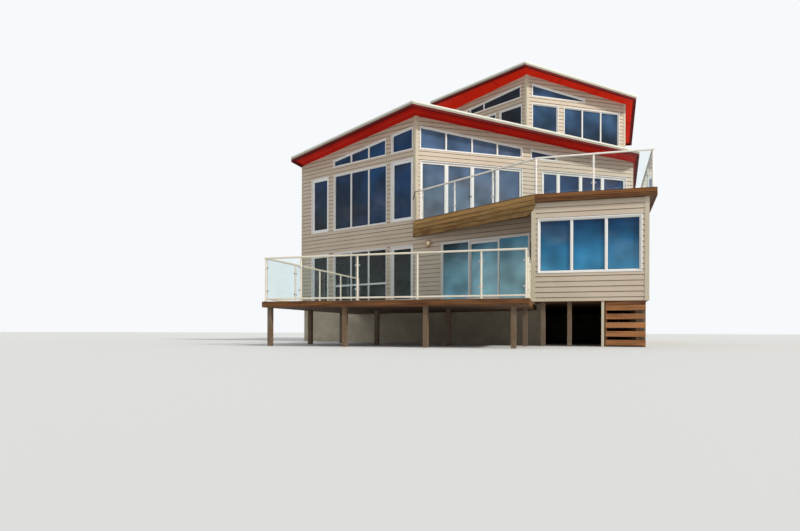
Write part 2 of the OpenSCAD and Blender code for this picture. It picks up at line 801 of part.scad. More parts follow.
// Strips along the listed sides of an outline, from in_w inside to out_w outside
module edge_strips(pts, sides, in_w, out_w) {
    n = len(pts);
    open = [for (i = [0:n - 1]) len([for (k = sides) if (k == i) k])];
    out = inset(pts, -out_w * open);
    in = inset(pts, in_w * open);
    for (i = sides) let (j = (i + 1) % n) prism([out[i], out[j], in[j], in[i]], 0, 2 * top_soffit_z);
}
edge_top = roof_over + barge_up;
module main_edge_boards() {
    color(edge_color) difference() {
        intersection() {
            union() {
                edge_strips(main_outline, main_open_sides, -joint_gap, barge_t);
                difference() {
                    edge_strips(main_outline, main_open_sides, barge_cap, barge_t);
                    below_main(roof_over + joint_gap);
                }
            }
            below_main(edge_top);
        }
        below_main(0);
    }
}
module top_roof() {
    color(roof_color) top_layer(top_outline, roof_under, roof_over);
}
module top_soffit() {
    color(soffit_color) difference() {
        top_layer(top_outline, 0, soffit_t - joint_gap);
        prism(block_seat, 0, far);
    }
}
module top_edge_boards() {
    color(edge_color) difference() {
        intersection() {
            union() {
                edge_strips(top_outline, [0:4], -joint_gap, barge_t);
                difference() {
                    edge_strips(top_outline, [0:4], barge_cap, barge_t);
                    below_top(roof_over + joint_gap);
                }
            }
            below_top(edge_top);
        }
        below_top(0);
    }
}

// Window frames and their glass

frame_color = "#eeeae0";
glass_color = "#2d4f74";
module frames(p, turn, list) { on_wall(p, turn) for (w = list) window_frame(w); }
module sheets(p, turn, list) { on_wall(p, turn) for (w = list) window_glass(w); }

// The terrace door: fixed panes beside the middle bay, whose panel slides left
door_bars = [door_start + door_bay, door_start + 2 * door_bay];
fixed_panes = [
    square_window(door_start, door_bars[0] + frame_w / 2, lower_floor_z, door_top),
    square_window(door_bars[1] - frame_w / 2, door_end, lower_floor_z, door_top)];

module lower_windows() {
    color(frame_color) {
        frames(corner, -left_turn, lower_left_list);
        frames(front_left, 0, front_list);
    }
}
module lower_glass() {
    color(glass_color) {
        sheets(corner, -left_turn, lower_left_list);
        sheets(front_left, 0, front_list);
    }
}
module upper_left_windows() {
    color(frame_color) frames(corner, -left_turn, upper_left_list);
}
module upper_left_glass() {
    color(glass_color) sheets(corner, -left_turn, upper_left_list);
}
module deck_doors() {
    color(frame_color) frames(corner, deck_wall_turn, deck_list);
}
module deck_door_glass() {
    color(glass_color) sheets(corner, deck_wall_turn, deck_list);
}
module top_windows() {
    color(frame_color) {
        frames(block, -block_left_turn, top_left_list);
        frames(block, deck_wall_turn, top_right_list);
    }
}
module top_glass() {
    color(glass_color) {
        sheets(block, -block_left_turn, top_left_list);
        sheets(block, deck_wall_turn, top_right_list);
    }
}
module back_windows() {
    color(frame_color) {
        frames(front_right, 90, right_lower_list);
        frames(rear_right, 180, concat(rear_lower_list, rear_upper_list, rear_top_list));
        frames(wing_rear, end_turn, concat(end_lower_list, end_upper_list));
    }
}
module back_glass() {
    color(glass_color) {
        sheets(front_right, 90, right_lower_list);
        sheets(rear_right, 180, concat(rear_lower_list, rear_upper_list, rear_top_list));
        sheets(wing_rear, end_turn, concat(end_lower_list, end_upper_list));
    }
}

// The outer half of the frame's depth holds the fixed panes, the inner half the panel
fixed_d = frame_d / 2;
fixed_mid = frame_back + fixed_d / 2;
panel_y = frame_back + fixed_d + panel_clear;
inner_end = wall_t;
sill_h = frame_w;
panel_foot = lower_floor_z + sill_h + track_h + track_clear;
panel_head = door_top - frame_w - panel_clear;
panel_span = [door_bars[0] - frame_w / 2, door_bars[1] + frame_w / 2];
panel_travel = door_bay - 2 * frame_w;

module terrace_door_frame() {
    color(frame_color) on_wall(corner, -left_turn) {
        difference() {
            upright([[door_start, lower_floor_z], [door_end, lower_floor_z],
                [door_end, door_top], [door_start, door_top]], frame_back, inner_end);
            upright([[door_start + frame_w, lower_floor_z + frame_w],
                [door_end - frame_w, lower_floor_z + frame_w],
                [door_end - frame_w, door_top - frame_w],
                [door_start + frame_w, door_top - frame_w]], frame_back - 1, inner_end + 1);
        }
        for (w = fixed_panes) difference() {
            upright([[w[0], w[2]], [w[1], w[2]], [w[1], w[4]], [w[0], w[3]]],
                frame_back, frame_back + fixed_d);
            for (p = panes(w)) upright(p, frame_back - 1, frame_back + fixed_d + 1);
        }
        translate([door_start + frame_w, panel_y + panel_t / 2 - track_h / 2,
            lower_floor_z + sill_h]) cube([3 * door_bay - 2 * frame_w, track_h, track_h]);
    }
}
module terrace_door_glass() {
    color(glass_color) on_wall(corner, -left_turn) for (w = fixed_panes, p = panes(w))
        upright(p, fixed_mid - glass_t / 2, fixed_mid + glass_t / 2);
}
function panel_hole() = [[panel_span[0] + panel_w, panel_foot + panel_w],
    [panel_span[1] - panel_w, panel_foot + panel_w],
    [panel_span[1] - panel_w, panel_head - panel_w],
    [panel_span[0] + panel_w, panel_head - panel_w]];
module terrace_door_panel() {
    color(frame_color) on_wall(corner, -left_turn) difference() {
        translate([panel_span[0], panel_y, panel_foot])
            cube([panel_span[1] - panel_span[0], panel_t, panel_head - panel_foot]);
        upright(panel_hole(), panel_y - 1, panel_y + panel_t + 1);
    }
}
module terrace_door_panel_glass() {
    color(glass_color) on_wall(corner, -left_turn)
        upright(panel_hole(), panel_y + panel_t / 2 - glass_t / 2,
            panel_y + panel_t / 2 + glass_t / 2);
}

// Deck: floor, edge boards, rail and glass

deck_color = "#7d5a3c";
module deck_floor() {
    color(deck_color) prism(inset(deck_plan, [0, 0, 0, 0, joint_gap]), deck_under, deck_z);
}

// The edge boards' outer line. The left one starts where it meets the left wall
edge_line = inset(deck_plan, [-fascia_t, -fascia_t, -fascia_t, 0, 0]);
board_seat = corner - joint_gap * inward(left_end, corner);
left_board_plan = [meet(edge_line[1], -deck_edge_turn, board_seat, -left_turn), edge_line[1],
    deck_corner, meet(corner, -deck_edge_turn, board_seat, -left_turn)];
// Its foot turns up in an arc to meet the front one
arc_r = fascia_left_h - fascia_front_h;
left_board = concat([[-2 * wall_t, 0], [-2 * wall_t, -fascia_left_h]],
    [for (a = [0:10:90]) [deck_left_len - arc_r * (1 - sin(a)),
        -fascia_left_h + arc_r * (1 - cos(a))]],
    [[deck_left_len + 2 * wall_t, -fascia_front_h], [deck_left_len + 2 * wall_t, 0]]);
module deck_left_board() {
    intersection() {
        prism(left_board_plan, 0, deck_z);
        on_wall(corner, -deck_edge_turn) translate([0, 0, deck_z])
            upright(left_board, -2 * wall_t, 2 * wall_t);
    }
}
module deck_edge_boards() {
    color(deck_color) {
        deck_left_board();
        for (i = [1, 2]) prism([edge_line[i], edge_line[i + 1], deck_plan[i + 1], deck_plan[i]],
            deck_z - fascia_front_h, deck_z);
    }
}

// A straight member from p to q, between two heights
module member(p, q, z0, z1, w) {
    translate([p[0], p[1], z0]) rotate([0, 0, angle_of(q - p)])
        translate([0, -w / 2, 0]) cube([norm(q - p), w, z1 - z0]);
}
// A strip of width w along a path whose corners are mitred
function path_side(pts, d) = let (n = len(pts)) [for (i = [0:n - 1])
    i == 0 ? pts[0] + d * inward(pts[0], pts[1])
    : i == n - 1 ? pts[i] + d * inward(pts[i - 1], pts[i])
    : meet(pts[i] + d * inward(pts[i - 1], pts[i]), angle_of(pts[i] - pts[i - 1]),
        pts[i] + d * inward(pts[i], pts[i + 1]), angle_of(pts[i + 1] - pts[i]))];
function backwards(pts) = [for (i = [len(pts) - 1:-1:0]) pts[i]];
function strip(pts, w) = concat(path_side(pts, -w / 2), backwards(path_side(pts, w / 2)));

// The deck rail's line, moved in from the deck's edge, and its posts
rail_line = inset(deck_plan, [rail_in, rail_in, rail_in, 0, 0]);
rail_start = rail_line[1] - (deck_left_len - rail_start_in) * way(-deck_edge_turn);
rail_end = [rail_line[2][0], deck_wall_end[1] - rail_in];
rail_path = [rail_start, rail_line[1], rail_line[2], rail_end];
rail_z = deck_z + rail_h;
side_bays = 4;
rail_posts = concat(
    [for (d = [0, rail_bay, 2 * rail_bay + rail_bay_more]) rail_start + d * way(-deck_edge_turn)],
    [rail_line[1], rail_line[1] + [corner_bay, 0]],
    [for (i = [0:side_bays]) rail_line[2] + (rail_end - rail_line[2]) * i / side_bays]);
module rail_run(path, posts, floor_z, top_z, low_z) {
    for (p = posts) translate([p[0], p[1], floor_z])
        cylinder(d = rail_post, h = top_z - rail_t - floor_z);
    prism(strip(path, rail_w), top_z - rail_t, top_z);
    if (low_z > 0) prism(strip(path, rail_t), low_z, low_z + rail_t);
}
module rail_sheets(posts, low, high) {
    for (i = [0:len(posts) - 2]) {
        u = unit(posts[i + 1] - posts[i]);
        member(posts[i] + u * rail_post, posts[i + 1] - u * rail_post, low, high, rail_glass_t);
    }
}
module deck_rail() { color(frame_color) rail_run(rail_path, rail_posts, deck_z, rail_z, 0); }
module deck_rail_glass() {
    color("#9fb9c8") rail_sheets(rail_posts, deck_z + rail_glass_up, rail_z - rail_t);
}

// Terrace. Its floor runs in under the wall as far as the base wall

terrace_rail_line = inset(terrace_plan, [rail_in, rail_in, rail_in, 0, 0]);
terrace_side = terrace_rail_line[1];
terrace_back = [terrace_side[0], terrace_wall[1] - 2 * rail_in];
terrace_end = terrace_rail_line[2];
terrace_finish = front_left - [rail_in, rail_in];
terrace_path = [terrace_back, terrace_side, terrace_end, terrace_finish];
terrace_side_bays = 4;
terrace_posts = concat(
    [for (i = [0:terrace_side_bays - 1])
        terrace_back + (terrace_side - terrace_back) * i / terrace_side_bays],
    [terrace_side],
    [for (i = [0:3]) [terrace_side[0] + terrace_first + i * terrace_bay, terrace_side[1]]],
    [terrace_end, (terrace_end + terrace_finish) / 2, terrace_finish]);
module terrace_floor() {
    color(deck_color)
        prism(inset(terrace_plan, [0, 0, 0, 0, joint_gap - base_in]), terrace_under, terrace_z);
}
module terrace_rail() {
    color(frame_color) rail_run(terrace_path, terrace_posts, terrace_z, terrace_z + terrace_rail_h,
        terrace_z + terrace_low_rail);
}
module terrace_rail_glass() {
    color("#9fb9c8") rail_sheets(terrace_posts, terrace_z + terrace_low_rail + rail_t,
        terrace_z + terrace_rail_h - rail_t);
}

// Corner boards: two leaves that meet in a mitre outside a corner of an outline.
// The corners that face away have narrow ones.

function corner_plan(outline, i, w = corner_w) = let (n = len(outline),
    h = (i + n - 1) % n, j = (i + 1) % n,
    pts = inset(outline, same(n, -joint_gap)), out = inset(outline, same(n, -corner_t)),
    back = w * unit(pts[h] - pts[i]), on = w * unit(pts[j] - pts[i]),
    lift_back = inward(pts[h], pts[i]) * (joint_gap - corner_t),
    lift_on = inward(pts[i], pts[j]) * (joint_gap - corner_t))
    [pts[i] + back, pts[i] + back + lift_back, out[i], pts[i] + on + lift_on, pts[i] + on, pts[i]];
module corner_boards() {
    color(frame_color) {
        difference() {
            for (i = [2, 3]) prism(corner_plan(lower_plan, i), lower_floor_z, deck_under);
            deck_left_board();
        }
        intersection() {
            union() {
                prism(corner_plan(upper_plan, 1), deck_z, far);
                for (i = [0, 4, 9]) prism(corner_plan(lower_plan, i, stop_w), lower_floor_z, far);
            }
            below_main(-joint_gap);
        }
        difference() {
            intersection() {
                for (i = [1, 2]) prism(corner_plan(top_plan, i), 0, far);
                below_top(-joint_gap);
            }
            below_main(edge_top + joint_gap);
        }
        intersection() {
            for (i = [6, 7]) prism(corner_plan(lower_plan, i, stop_w), lower_floor_z, far);
            below_top(-joint_gap);
        }
    }
}

light_z = lower_floor_z + light_up;
module wall_light() {
    color("#d9c79a") on_wall(corner, -left_turn) translate([light_in, -joint_gap, light_z])
        rotate([90, 0, 0]) difference() {
            cylinder(r = light_r, h = light_d);
            translate([0, 0, light_d - lens_in]) cylinder(r = light_r - light_rim, h = lens_in + 1);
        }
}

// A slim dark fitting on the front room's side wall: a rod held off the wall by two arms
fitting_foot = lower_floor_z + fitting_up;
fitting_arm = fitting_d * 0.6;
module wall_fitting() {
    color("#3a3836") on_wall(front_left, -90)
        translate([-fitting_back, -joint_gap, fitting_foot]) {
            translate([0, -fitting_out, 0]) cylinder(d = fitting_d, h = fitting_h);
            for (z = [fitting_h / 5, fitting_h * 4 / 5])
                translate([-fitting_arm / 2, -fitting_out, z - fitting_arm / 2])
                    cube([fitting_arm, fitting_out, fitting_arm]);
        }
}

base_walls();
floor_posts();
underfloor_slats();
lower_floor();
lower_left_wall();
lower_wall_over_door();
front_room_side_wall();
front_room_wall();
lower_right_wall();
lower_back_walls();
upper_floor();
upper_left_wall();
upper_deck_wall();
upper_right_wall();
upper_back_walls();
top_floor();
top_left_wall();
top_right_wall();
top_back_walls();
main_roof();
main_soffit();
main_edge_boards();
top_roof();
top_soffit();
top_edge_boards();
lower_windows();
lower_glass();
upper_left_windows();
upper_left_glass();
deck_doors();
deck_door_glass();
top_windows();
top_glass();
back_windows();
back_glass();
terrace_door_frame();
terrace_door_glass();
terrace_door_panel();
terrace_door_panel_glass();
deck_floor();
deck_edge_boards();
deck_rail();
deck_rail_glass();
terrace_floor();
terrace_rail();
terrace_rail_glass();
corner_boards();
wall_light();
wall_fitting();
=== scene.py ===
import math

import bpy
import numpy as np
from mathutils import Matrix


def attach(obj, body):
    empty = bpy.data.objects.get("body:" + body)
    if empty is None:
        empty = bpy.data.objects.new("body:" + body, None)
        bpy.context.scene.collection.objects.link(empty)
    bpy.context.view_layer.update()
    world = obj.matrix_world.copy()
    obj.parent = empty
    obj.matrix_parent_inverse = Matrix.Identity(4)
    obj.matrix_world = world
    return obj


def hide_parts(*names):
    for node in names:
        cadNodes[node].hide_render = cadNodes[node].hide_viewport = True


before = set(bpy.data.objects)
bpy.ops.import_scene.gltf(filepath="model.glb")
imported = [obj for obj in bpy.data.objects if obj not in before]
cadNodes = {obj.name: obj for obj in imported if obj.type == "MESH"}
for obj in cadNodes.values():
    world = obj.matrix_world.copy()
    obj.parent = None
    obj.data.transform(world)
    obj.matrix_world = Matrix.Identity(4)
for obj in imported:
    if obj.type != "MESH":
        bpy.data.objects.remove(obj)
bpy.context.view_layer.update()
houseBody, panelBody = "house", "terrace_panel"


# Plan and heights, the same as in the part's source, in metres
plan = {
    "corner": np.array([0.0, -0.155]),  # front corner of the walls
    "leftTurn": -22.0,
    "deckTurn": 34.5,
    "leftLength": 5.93,
    "rightX": 7.43,
    "rearY": 10.045,
    "frontX": 4.344,
    "frontY": -3.185,
    "block": np.array([3.353, 4.403]),  # near corner of the top block
    "blockLeftTurn": -31.4,
    "blockLeftLength": 4.7,
    "blockRightLength": 4.673,
    "lowerFloor": 1.38,
    "deck": 4.3,
    "deckUnder": 4.1,
    "topFloor": 7.05,
    "terrace": 1.2,
}
roofs = {
    "mainFoot": 8.0,  # underside of the eaves over the front corner
    "mainRise": (0.045009, -0.245236),
    "topFoot": 10.83,  # underside of the eaves over the block's corner
    "topRise": (-0.034108, -0.215353),
    "over": 0.136,  # the sheet's upper face above that underside
    "boardsOver": 0.06,  # the top block's boards above that face, clear of the flashing's foot
}


def way(turn):
    # Unit vector in plan at an angle in degrees from +X
    return np.array([math.cos(math.radians(turn)), math.sin(math.radians(turn))])


def outOf(turn):
    # Away from the house, for a wall's heading
    return way(turn - 90)


def cross2(a, b):
    return a[..., 0] * b[..., 1] - a[..., 1] * b[..., 0]


def apart(a, b):
    return float(np.linalg.norm(b - a))


def meet(p, turnP, q, turnQ):
    # Where the line through p at one angle crosses the line through q at another
    a, b = way(turnP), way(turnQ)
    return p + a * cross2(q - p, b) / cross2(a, b)


def atX(x):
    return np.array([x, 0.0])


def atY(y):
    return np.array([0.0, y])


def mainUnder(p):
    return roofs["mainFoot"] + (np.asarray(p) - plan["corner"]) @ np.array(roofs["mainRise"])


def topUnder(p):
    return roofs["topFoot"] + (np.asarray(p) - plan["block"]) @ np.array(roofs["topRise"])


corner, block = plan["corner"], plan["block"]
left, deckT, topLeftT = plan["leftTurn"], plan["deckTurn"], plan["blockLeftTurn"]
leftEnd = corner - plan["leftLength"] * way(left)
deckWallEnd = meet(corner, deckT, atX(plan["rightX"]), 90)
blockRight = block + plan["blockRightLength"] * way(deckT)
blockLeft = block - plan["blockLeftLength"] * way(topLeftT)
rightStep = meet(block, deckT, atX(plan["rightX"]), 90)
rearRight = np.array([blockRight[0], plan["rearY"]])
rearLeft = np.array([blockLeft[0], plan["rearY"]])
wingRear = meet(leftEnd, 90 + left, blockLeft, 180)
frontLeft = np.array([plan["frontX"], plan["frontY"]])
frontRight = np.array([plan["rightX"], plan["frontY"]])
frontJoint = meet(corner, left, frontLeft, 90)


# Shader groups

anyColor = (0.5, 0.5, 0.5, 1)


def setInputs(node, values):
    # An input takes another node's output as a link, and anything else as its value
    for key, value in values.items():
        if isinstance(value, bpy.types.NodeSocket):
            node.id_data.links.new(value, node.inputs[key])
        else:
            node.inputs[key].default_value = value
    return node


def shaderNode(tree, kind, inputs=None, **settings):
    made = tree.nodes.new("ShaderNode" + kind)
    for key, value in settings.items():
        setattr(made, key, value)
    return setInputs(made, inputs or {})


def noise(tree, place, scale, detail, roughness=0.5, distortion=0.0):
    return shaderNode(tree, "TexNoise", {"Vector": place, "Scale": scale, "Detail": detail, "Roughness": roughness,
                                         "Distortion": distortion}).outputs["Fac"]


def remap(tree, value, low=0.0, high=1.0, toLow=0.0, toHigh=1.0, curve="LINEAR"):
    return shaderNode(tree, "MapRange", {"Value": value, "From Min": low, "From Max": high, "To Min": toLow,
                                         "To Max": toHigh}, interpolation_type=curve).outputs["Result"]


def maths(tree, operation, *values, clamp=False):
    return shaderNode(tree, "Math", dict(enumerate(values)), operation=operation, use_clamp=clamp).outputs["Value"]


def multiplied(tree, vector, by):
    return shaderNode(tree, "VectorMath", {0: vector, 1: by}, operation="MULTIPLY").outputs["Vector"]


def mixed(tree, share, first, second):
    # A Mix node's colours go in at 6 and 7 and come out at 2
    return shaderNode(tree, "Mix", {"Factor": share, 6: first, 7: second}, data_type="RGBA").outputs[2]


def newGroup(name, inputs, outputs):
    # inputs give each socket's value, a colour where it has four parts; Vector is there too
    tree = bpy.data.node_groups.new(name, "ShaderNodeTree")
    tree.interface.new_socket("Vector", in_out="INPUT", socket_type="NodeSocketVector")
    for title, value in inputs.items():
        kind = "Color" if isinstance(value, tuple) else "Float"
        tree.interface.new_socket(title, in_out="INPUT", socket_type="NodeSocket" + kind).default_value = value
    for title in outputs:
        kind = "Color" if title == "Color" else "Float"
        tree.interface.new_socket(title, in_out="OUTPUT", socket_type="NodeSocket" + kind)
    return tree, tree.nodes.new("NodeGroupInput").outputs, tree.nodes.new("NodeGroupOutput")


def makeWeathering():
    # Paint or render that varies: broad patches shift the colour, fine noise roughens it
    tree, into, out = newGroup(
        "weathering",
        {"Color": anyColor, "Stain": anyColor, "Amount": 0.3, "Patch": 1.5, "Fine": 40.0, "Rough": 0.5},
        ["Color", "Roughness", "Height"])
    patch = noise(tree, into["Vector"], into["Patch"], 6.0, 0.6)
    fine = noise(tree, into["Vector"], into["Fine"], 3.0)
    share = maths(tree, "MULTIPLY", remap(tree, patch, 0.38, 0.72), into["Amount"])
    spread = remap(tree, fine, 0.2, 0.8, -0.08, 0.08)
    setInputs(out, {"Color": mixed(tree, share, into["Color"], into["Stain"]),
                    "Roughness": maths(tree, "ADD", spread, into["Rough"], clamp=True), "Height": fine})
    return tree


def makeTimberGrain():
    # Long streaks of dark and light along the first axis, greyed in broad patches
    tree, into, out = newGroup(
        "timberGrain",
        {"Light": anyColor, "Dark": anyColor, "Grey": anyColor, "Weather": 0.3, "Tone": 0.5},
        ["Color", "Roughness", "Height"])
    long = multiplied(tree, into["Vector"], (0.7, 16.0, 16.0))
    streak, fibre = noise(tree, long, 1.6, 7.0, 0.65, 0.4), noise(tree, long, 7.0, 4.0, 0.7)
    shift = remap(tree, into["Tone"], toLow=-0.38, toHigh=0.38)
    lift = maths(tree, "ADD", remap(tree, streak, 0.3, 0.7), shift, clamp=True)
    wood = mixed(tree, lift, into["Dark"], into["Light"])
    broad = noise(tree, into["Vector"], 1.1, 3.0)
    greyShare = maths(tree, "MULTIPLY", remap(tree, broad, 0.42, 0.7), into["Weather"])
    setInputs(out, {"Color": mixed(tree, greyShare, wood, into["Grey"]),
                    "Roughness": remap(tree, fibre, toLow=0.55, toHigh=0.85), "Height": fibre})
    return tree


def makePaintedLapShade():
    # Painted shade: a soft dark line in the top few millimetres of each board's face, where the board above shades it
    tree, into, out = newGroup(
        "paintedLapShade", {"Color": anyColor, "Shade": anyColor, "Start": 1.38, "Cover": 0.15, "Width": 0.12}, ["Color"])
    height = shaderNode(tree, "SeparateXYZ", {"Vector": into["Vector"]}).outputs["Z"]
    count = maths(tree, "DIVIDE", maths(tree, "SUBTRACT", height, into["Start"]), into["Cover"])
    edge = maths(tree, "SUBTRACT", 1.0, into["Width"])
    share = remap(tree, maths(tree, "FRACT", count), edge, curve="SMOOTHSTEP")
    setInputs(out, {"Color": mixed(tree, share, into["Color"], into["Shade"])})
    return tree


def makePaneReflections():
    # Painted reflection on a storey's panes: one rise from foot to head on the left, another on the right, soft painted
    # reflected clouds over both, lighter and darker in broad patches
    tree, into, out = newGroup(
        "paneReflections",
        {"Left Low": anyColor, "Left High": anyColor, "Right Low": anyColor, "Right High": anyColor,
         "Cloud": anyColor, "Amount": 0.5, "Foot": 0.0, "Head": 3.0, "From": -1.0, "To": 1.0},
        ["Color"])
    split = shaderNode(tree, "SeparateXYZ", {"Vector": into["Vector"]}).outputs
    rise = remap(tree, split["Z"], into["Foot"], into["Head"], curve="SMOOTHSTEP")
    across = remap(tree, split["X"], into["From"], into["To"], curve="SMOOTHSTEP")
    leftSky, rightSky = (mixed(tree, rise, into[side + " Low"], into[side + " High"]) for side in ("Left", "Right"))
    reflectedCloud = noise(tree, multiplied(tree, into["Vector"], (0.5, 0.5, 1.0)), 0.9, 5.0, 0.55, 0.8)
    share = maths(tree, "MULTIPLY", remap(tree, reflectedCloud, 0.5, 0.8), into["Amount"])
    skyReflection = mixed(tree, share, mixed(tree, across, leftSky, rightSky), into["Cloud"])
    # The painted reflection is brighter in some broad patches and darker in others
    deep = remap(tree, noise(tree, into["Vector"], 1.3, 1.0), 0.3, 0.7, 0.6, 1.35)
    setInputs(out, {"Color": multiplied(tree, skyReflection, deep)})
    return tree


weathering, timberGrain, paintedLapShade, paneReflections = makeWeathering(), makeTimberGrain(), makePaintedLapShade(), makePaneReflections()


# Materials

def rgb(color):
    # sRGB 0 to 255 to the linear colour that Blender's sockets hold
    c = np.array(color) / 255
    c = np.where(c <= 0.04045, c / 12.92, ((c + 0.055) / 1.055) ** 2.4)
    return (*c.tolist(), 1)


def newMaterial(name):
    material = bpy.data.materials.new(name)
    material.use_nodes = True
    tree = material.node_tree
    return material, tree, tree.nodes["Principled BSDF"]


def groupNode(tree, group, inputs):
    made = tree.nodes.new("ShaderNodeGroup")
    made.node_tree = group
    return setInputs(made, inputs).outputs


def objectPlace(tree):
    return shaderNode(tree, "TexCoord").outputs["Object"]


def bumped(tree, height, strength, distance=0.002):
    return shaderNode(tree, "Bump", {"Strength": strength, "Distance": distance, "Height": height}).outputs["Normal"]


def addSurface(tree, shader, finish, bump, lapShade):
    # A finish's colour, roughness and height, with a painted shade line over the colour where boards need one
    color = finish["Color"]
    if lapShade:
        color = groupNode(tree, paintedLapShade, {"Vector": objectPlace(tree), "Color": color, **lapShade})["Color"]
    setInputs(shader, {"Base Color": color, "Roughness": finish["Roughness"],
                       "Normal": bumped(tree, finish["Height"], bump)})


def paint(name, color, stain, amount=0.3, patch=1.5, fine=60.0, rough=0.45, bump=0.15, metallic=0.0, shine=0.3,
          lapShade=None):
    material, tree, shader = newMaterial(name)
    film = groupNode(tree, weathering, {"Vector": objectPlace(tree), "Color": rgb(color), "Stain": rgb(stain),
                                        "Amount": amount, "Patch": patch, "Fine": fine, "Rough": rough})
    addSurface(tree, shader, film, bump, lapShade)
    setInputs(shader, {"Metallic": metallic, "Specular IOR Level": shine})
    return material


def timber(name, light, dark, grey, weather, byBoard=True, turn=0.0, lapShade=None):
    # byBoard: the streaks follow each board's own "boardPlace"; otherwise they run along the heading turn
    material, tree, shader = newMaterial(name)
    if byBoard:
        place = shaderNode(tree, "Attribute", attribute_name="boardPlace").outputs["Vector"]
        tone = shaderNode(tree, "Attribute", attribute_name="boardTone").outputs["Fac"]
    else:
        turned = {"Vector": objectPlace(tree), "Rotation": (0, 0, math.radians(-turn))}
        place, tone = shaderNode(tree, "Mapping", turned).outputs["Vector"], 0.5
    wood = groupNode(tree, timberGrain, {"Vector": place, "Light": rgb(light), "Dark": rgb(dark), "Grey": rgb(grey),
                                         "Weather": weather, "Tone": tone})
    addSurface(tree, shader, wood, 0.5, lapShade)
    setInputs(shader, {"Specular IOR Level": 0.25})
    return material


def shadowThrough(tree, shader):
    # Glass lets shadow and diffuse rays straight through, so it neither shades nor lights what stands behind it
    rays = shaderNode(tree, "LightPath").outputs
    through = shaderNode(tree, "BsdfTransparent", {"Color": (0.86, 0.9, 0.9, 1)}).outputs["BSDF"]
    mix = shaderNode(tree, "MixShader", {"Fac": maths(tree, "MAXIMUM", rays["Is Shadow Ray"], rays["Is Diffuse Ray"]),
                                         1: shader.outputs["BSDF"], 2: through})
    setInputs(tree.nodes["Material Output"], {"Surface": mix.outputs["Shader"]})


def makePanes(name, leftTintsAndSky, rightTintsAndSky, reflectedCloud, amount, heights, span, transmission=0.2):
    # Tints are (low, high) between the two heights, glass colour with painted reflection and shade in them; the left
    # ones turn into the right ones over the span of x
    material, tree, shader = newMaterial(name)
    place = objectPlace(tree)
    tint = groupNode(tree, paneReflections, {
        "Vector": place, "Left Low": rgb(leftTintsAndSky[0]), "Left High": rgb(leftTintsAndSky[1]),
        "Right Low": rgb(rightTintsAndSky[0]), "Right High": rgb(rightTintsAndSky[1]), "Cloud": rgb(reflectedCloud), "Amount": amount,
        "Foot": heights[0], "Head": heights[1], "From": span[0], "To": span[1]})
    setInputs(shader, {
        "Base Color": tint["Color"], "Roughness": remap(tree, noise(tree, place, 14.0, 4.0), toLow=0.015, toHigh=0.07),
        "Transmission Weight": transmission, "IOR": 1.5, "Specular IOR Level": 0.08,
        "Normal": bumped(tree, noise(tree, place, 0.8, 1.0), 0.05, 0.01)})
    shadowThrough(tree, shader)
    return material


def makeClear(name, tint, spots):
    # Balustrade glass: clear and smooth, with faint patches in its tint
    material, tree, shader = newMaterial(name)
    film = groupNode(tree, weathering, {"Vector": objectPlace(tree), "Color": rgb(tint), "Stain": rgb(spots),
                                        "Amount": 0.35, "Patch": 2.2})
    setInputs(shader, {"Base Color": film["Color"], "Roughness": 0.0, "Transmission Weight": 1.0, "IOR": 1.2})
    shadowThrough(tree, shader)
    return material


